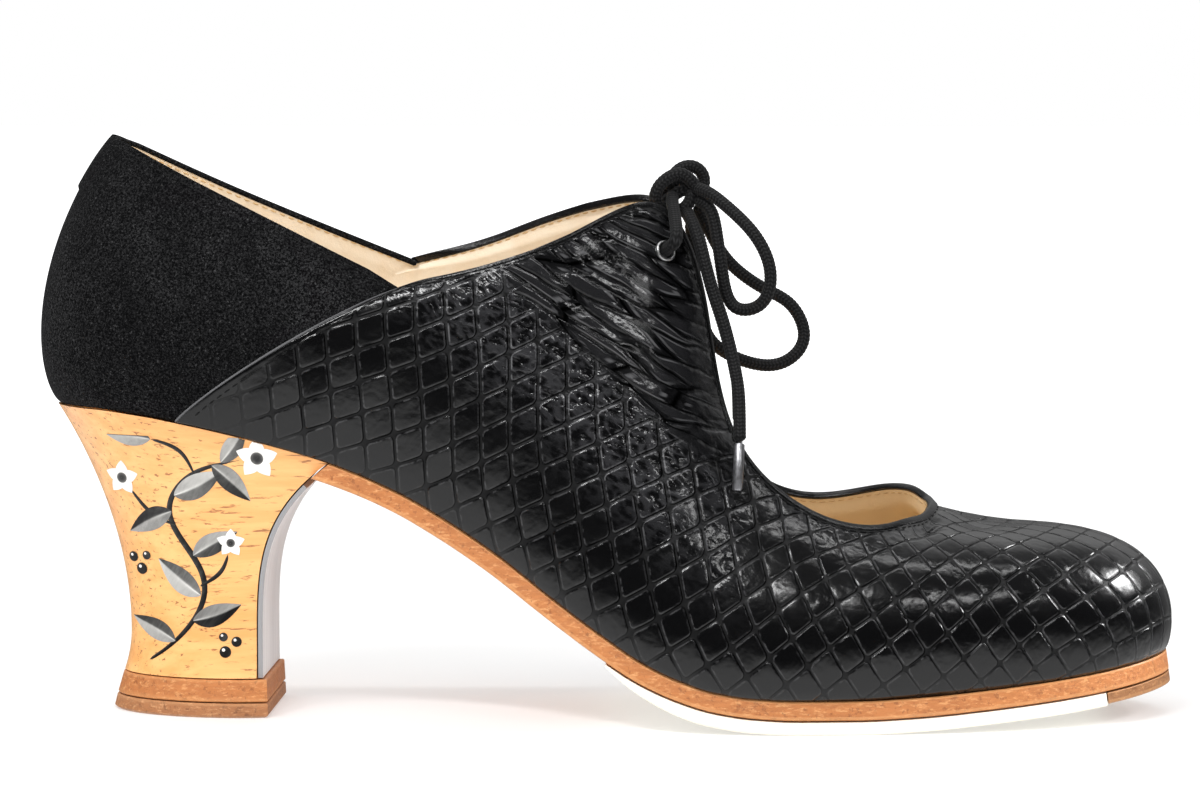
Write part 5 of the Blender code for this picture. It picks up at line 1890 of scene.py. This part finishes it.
def sprig_shapes():
    """Every stroke of the sprig as a grid of flat places and a grid of tones, in painting order."""
    shapes = [stroke(*stem) for stem in STEMS] + [leaf(row) for row in LEAVES]
    for flower in DAISIES:
        for k in range(PETALS):
            angle = np.degrees(2 * np.pi * (k + 0.2) / PETALS)
            wide, shade = 0.36 * flower.radius, flower.shade - 0.1
            points, tone = leaf(Leaf(flower.x, flower.z, flower.radius, angle, wide, 0.1, shade))
            shapes.append((points, tone * 0.35 + 0.72 * flower.shade))
        shapes.append(disc(flower.x, flower.z, 0.3 * flower.radius, 0.06, 0.2))
    for berry in BERRIES:
        shapes.append(disc(*berry))
        glint_x, glint_z = berry.x - 0.3 * berry.radius, berry.z + 0.35 * berry.radius
        shapes.append(disc(glint_x, glint_z, 0.28 * berry.radius, 0.85))
    return shapes


def make_sprig(name, side):
    """The sprig laid on one side of the heel, each stroke a hair above the one before it."""
    points, faces, tones, first = [], [], [], 0
    for order, (flat, tone) in enumerate(sprig_shapes()):
        rows, columns, _ = flat.shape
        x, z = flat[..., 0], np.clip(flat[..., 1], FOOT_LEVEL + 0.4, PAINT_TOP)
        along = heel_at(x + PAINT_PROBE, z, side) - heel_at(x - PAINT_PROBE, z, side)
        up = heel_at(x, z + PAINT_PROBE, side) - heel_at(x, z - PAINT_PROBE, side)
        out = unit(np.cross(along, up)) * -side
        height = PAINT_THICK + PAINT_STEP * order
        points.append((heel_at(x, z, side) + out * height).reshape(-1, 3))
        grid = quads(rows, columns)
        faces.append((grid if side > 0 else grid[:, ::-1]) + first)
        tones.append(np.ravel(tone))
        first += rows * columns
    put(
        name,
        np.concatenate(points),
        np.concatenate(faces),
        PAINT,
        "heel_wood",
        values={"shade": np.clip(np.concatenate(tones), 0, 1)},
        closed=False,
        sharp=None,
    )


# Metal


def put_turned(name, profile, centre, axis, sides, material, slot, stands_for):
    """A piece from a closed profile of radius and height, turned about an axis through a centre."""
    frame_turn = np.array(Vector(axis).to_track_quat("Z", "Y").to_matrix())
    radius, height = np.array(profile).T
    turn = np.linspace(0, 2 * np.pi, sides, endpoint=False)[:, None]
    ring = np.stack([radius * np.cos(turn), radius * np.sin(turn), height + 0 * turn], axis=-1)
    points = ring @ frame_turn.T + np.asarray(centre)
    faces = quads(sides, len(profile), wrap_rows=True, wrap_columns=True)
    return put(name, points, faces, material, slot, stands_for)


def make_eyelets():
    """Polished rings whose rolled flange is an arc, with a barrel through the flap."""
    depth = WALL + PANEL_LAP
    roll = np.linspace(0, np.pi, 9)
    middle, half = (EYELET_HOLE + EYELET_FLANGE) / 2, (EYELET_FLANGE - EYELET_HOLE) / 2
    profile = [(middle - half * np.cos(a), 0.15 + 0.55 * np.sin(a)) for a in roll]
    profile += [(EYELET_FLANGE, 0.02), (EYELET_BARREL, 0.0), (EYELET_BARREL, -depth), (EYELET_HOLE, -depth)]
    for name, side in (("lateral", -1), ("medial", 1)):
        centre, outwards = eyelet_place(side)
        solid = f"eyelet_{name}"
        put_turned(f"{solid}_rolled", profile, centre, outwards, 48, NICKEL, "nickel", [solid])


def make_aglet(side):
    """A metal tip: a thin tube turned about its own line, rounded and closed at both ends."""
    start = np.array(LACE_ROUTES[f"lace_end_{side}"][-1], float)
    drop = unit(np.array(AGLET_DROP[side]))
    radius = AGLET / 2
    profile = [(0.02, 0.0), (0.85 * radius, 0.0), (radius, 0.2), (radius, AGLET_LENGTH / 2)]
    profile += [(radius, AGLET_LENGTH - 0.5), (0.8 * radius, AGLET_LENGTH - 0.1), (0.02, AGLET_LENGTH)]
    start = start + drop * 2 * GAP
    solid = f"aglet_{side}"
    return put_turned(f"{solid}_crimped", profile, start, drop, 32, GUNMETAL, "gunmetal", [solid])


set_camera()
make_free_laces({side: make_aglet(side) for side in AGLET_DROP})
make_held_lace()
make_eyelets()
make_panel()
make_counter()
make_lining()
for binding in BINDINGS:
    make_binding(binding)
make_stitches()
make_soles()
make_heel()
make_breast_cover()
make_lifts()
make_sprig("sprig_lateral", -1)
make_sprig("sprig_medial", 1)
set_light()
make_floor()
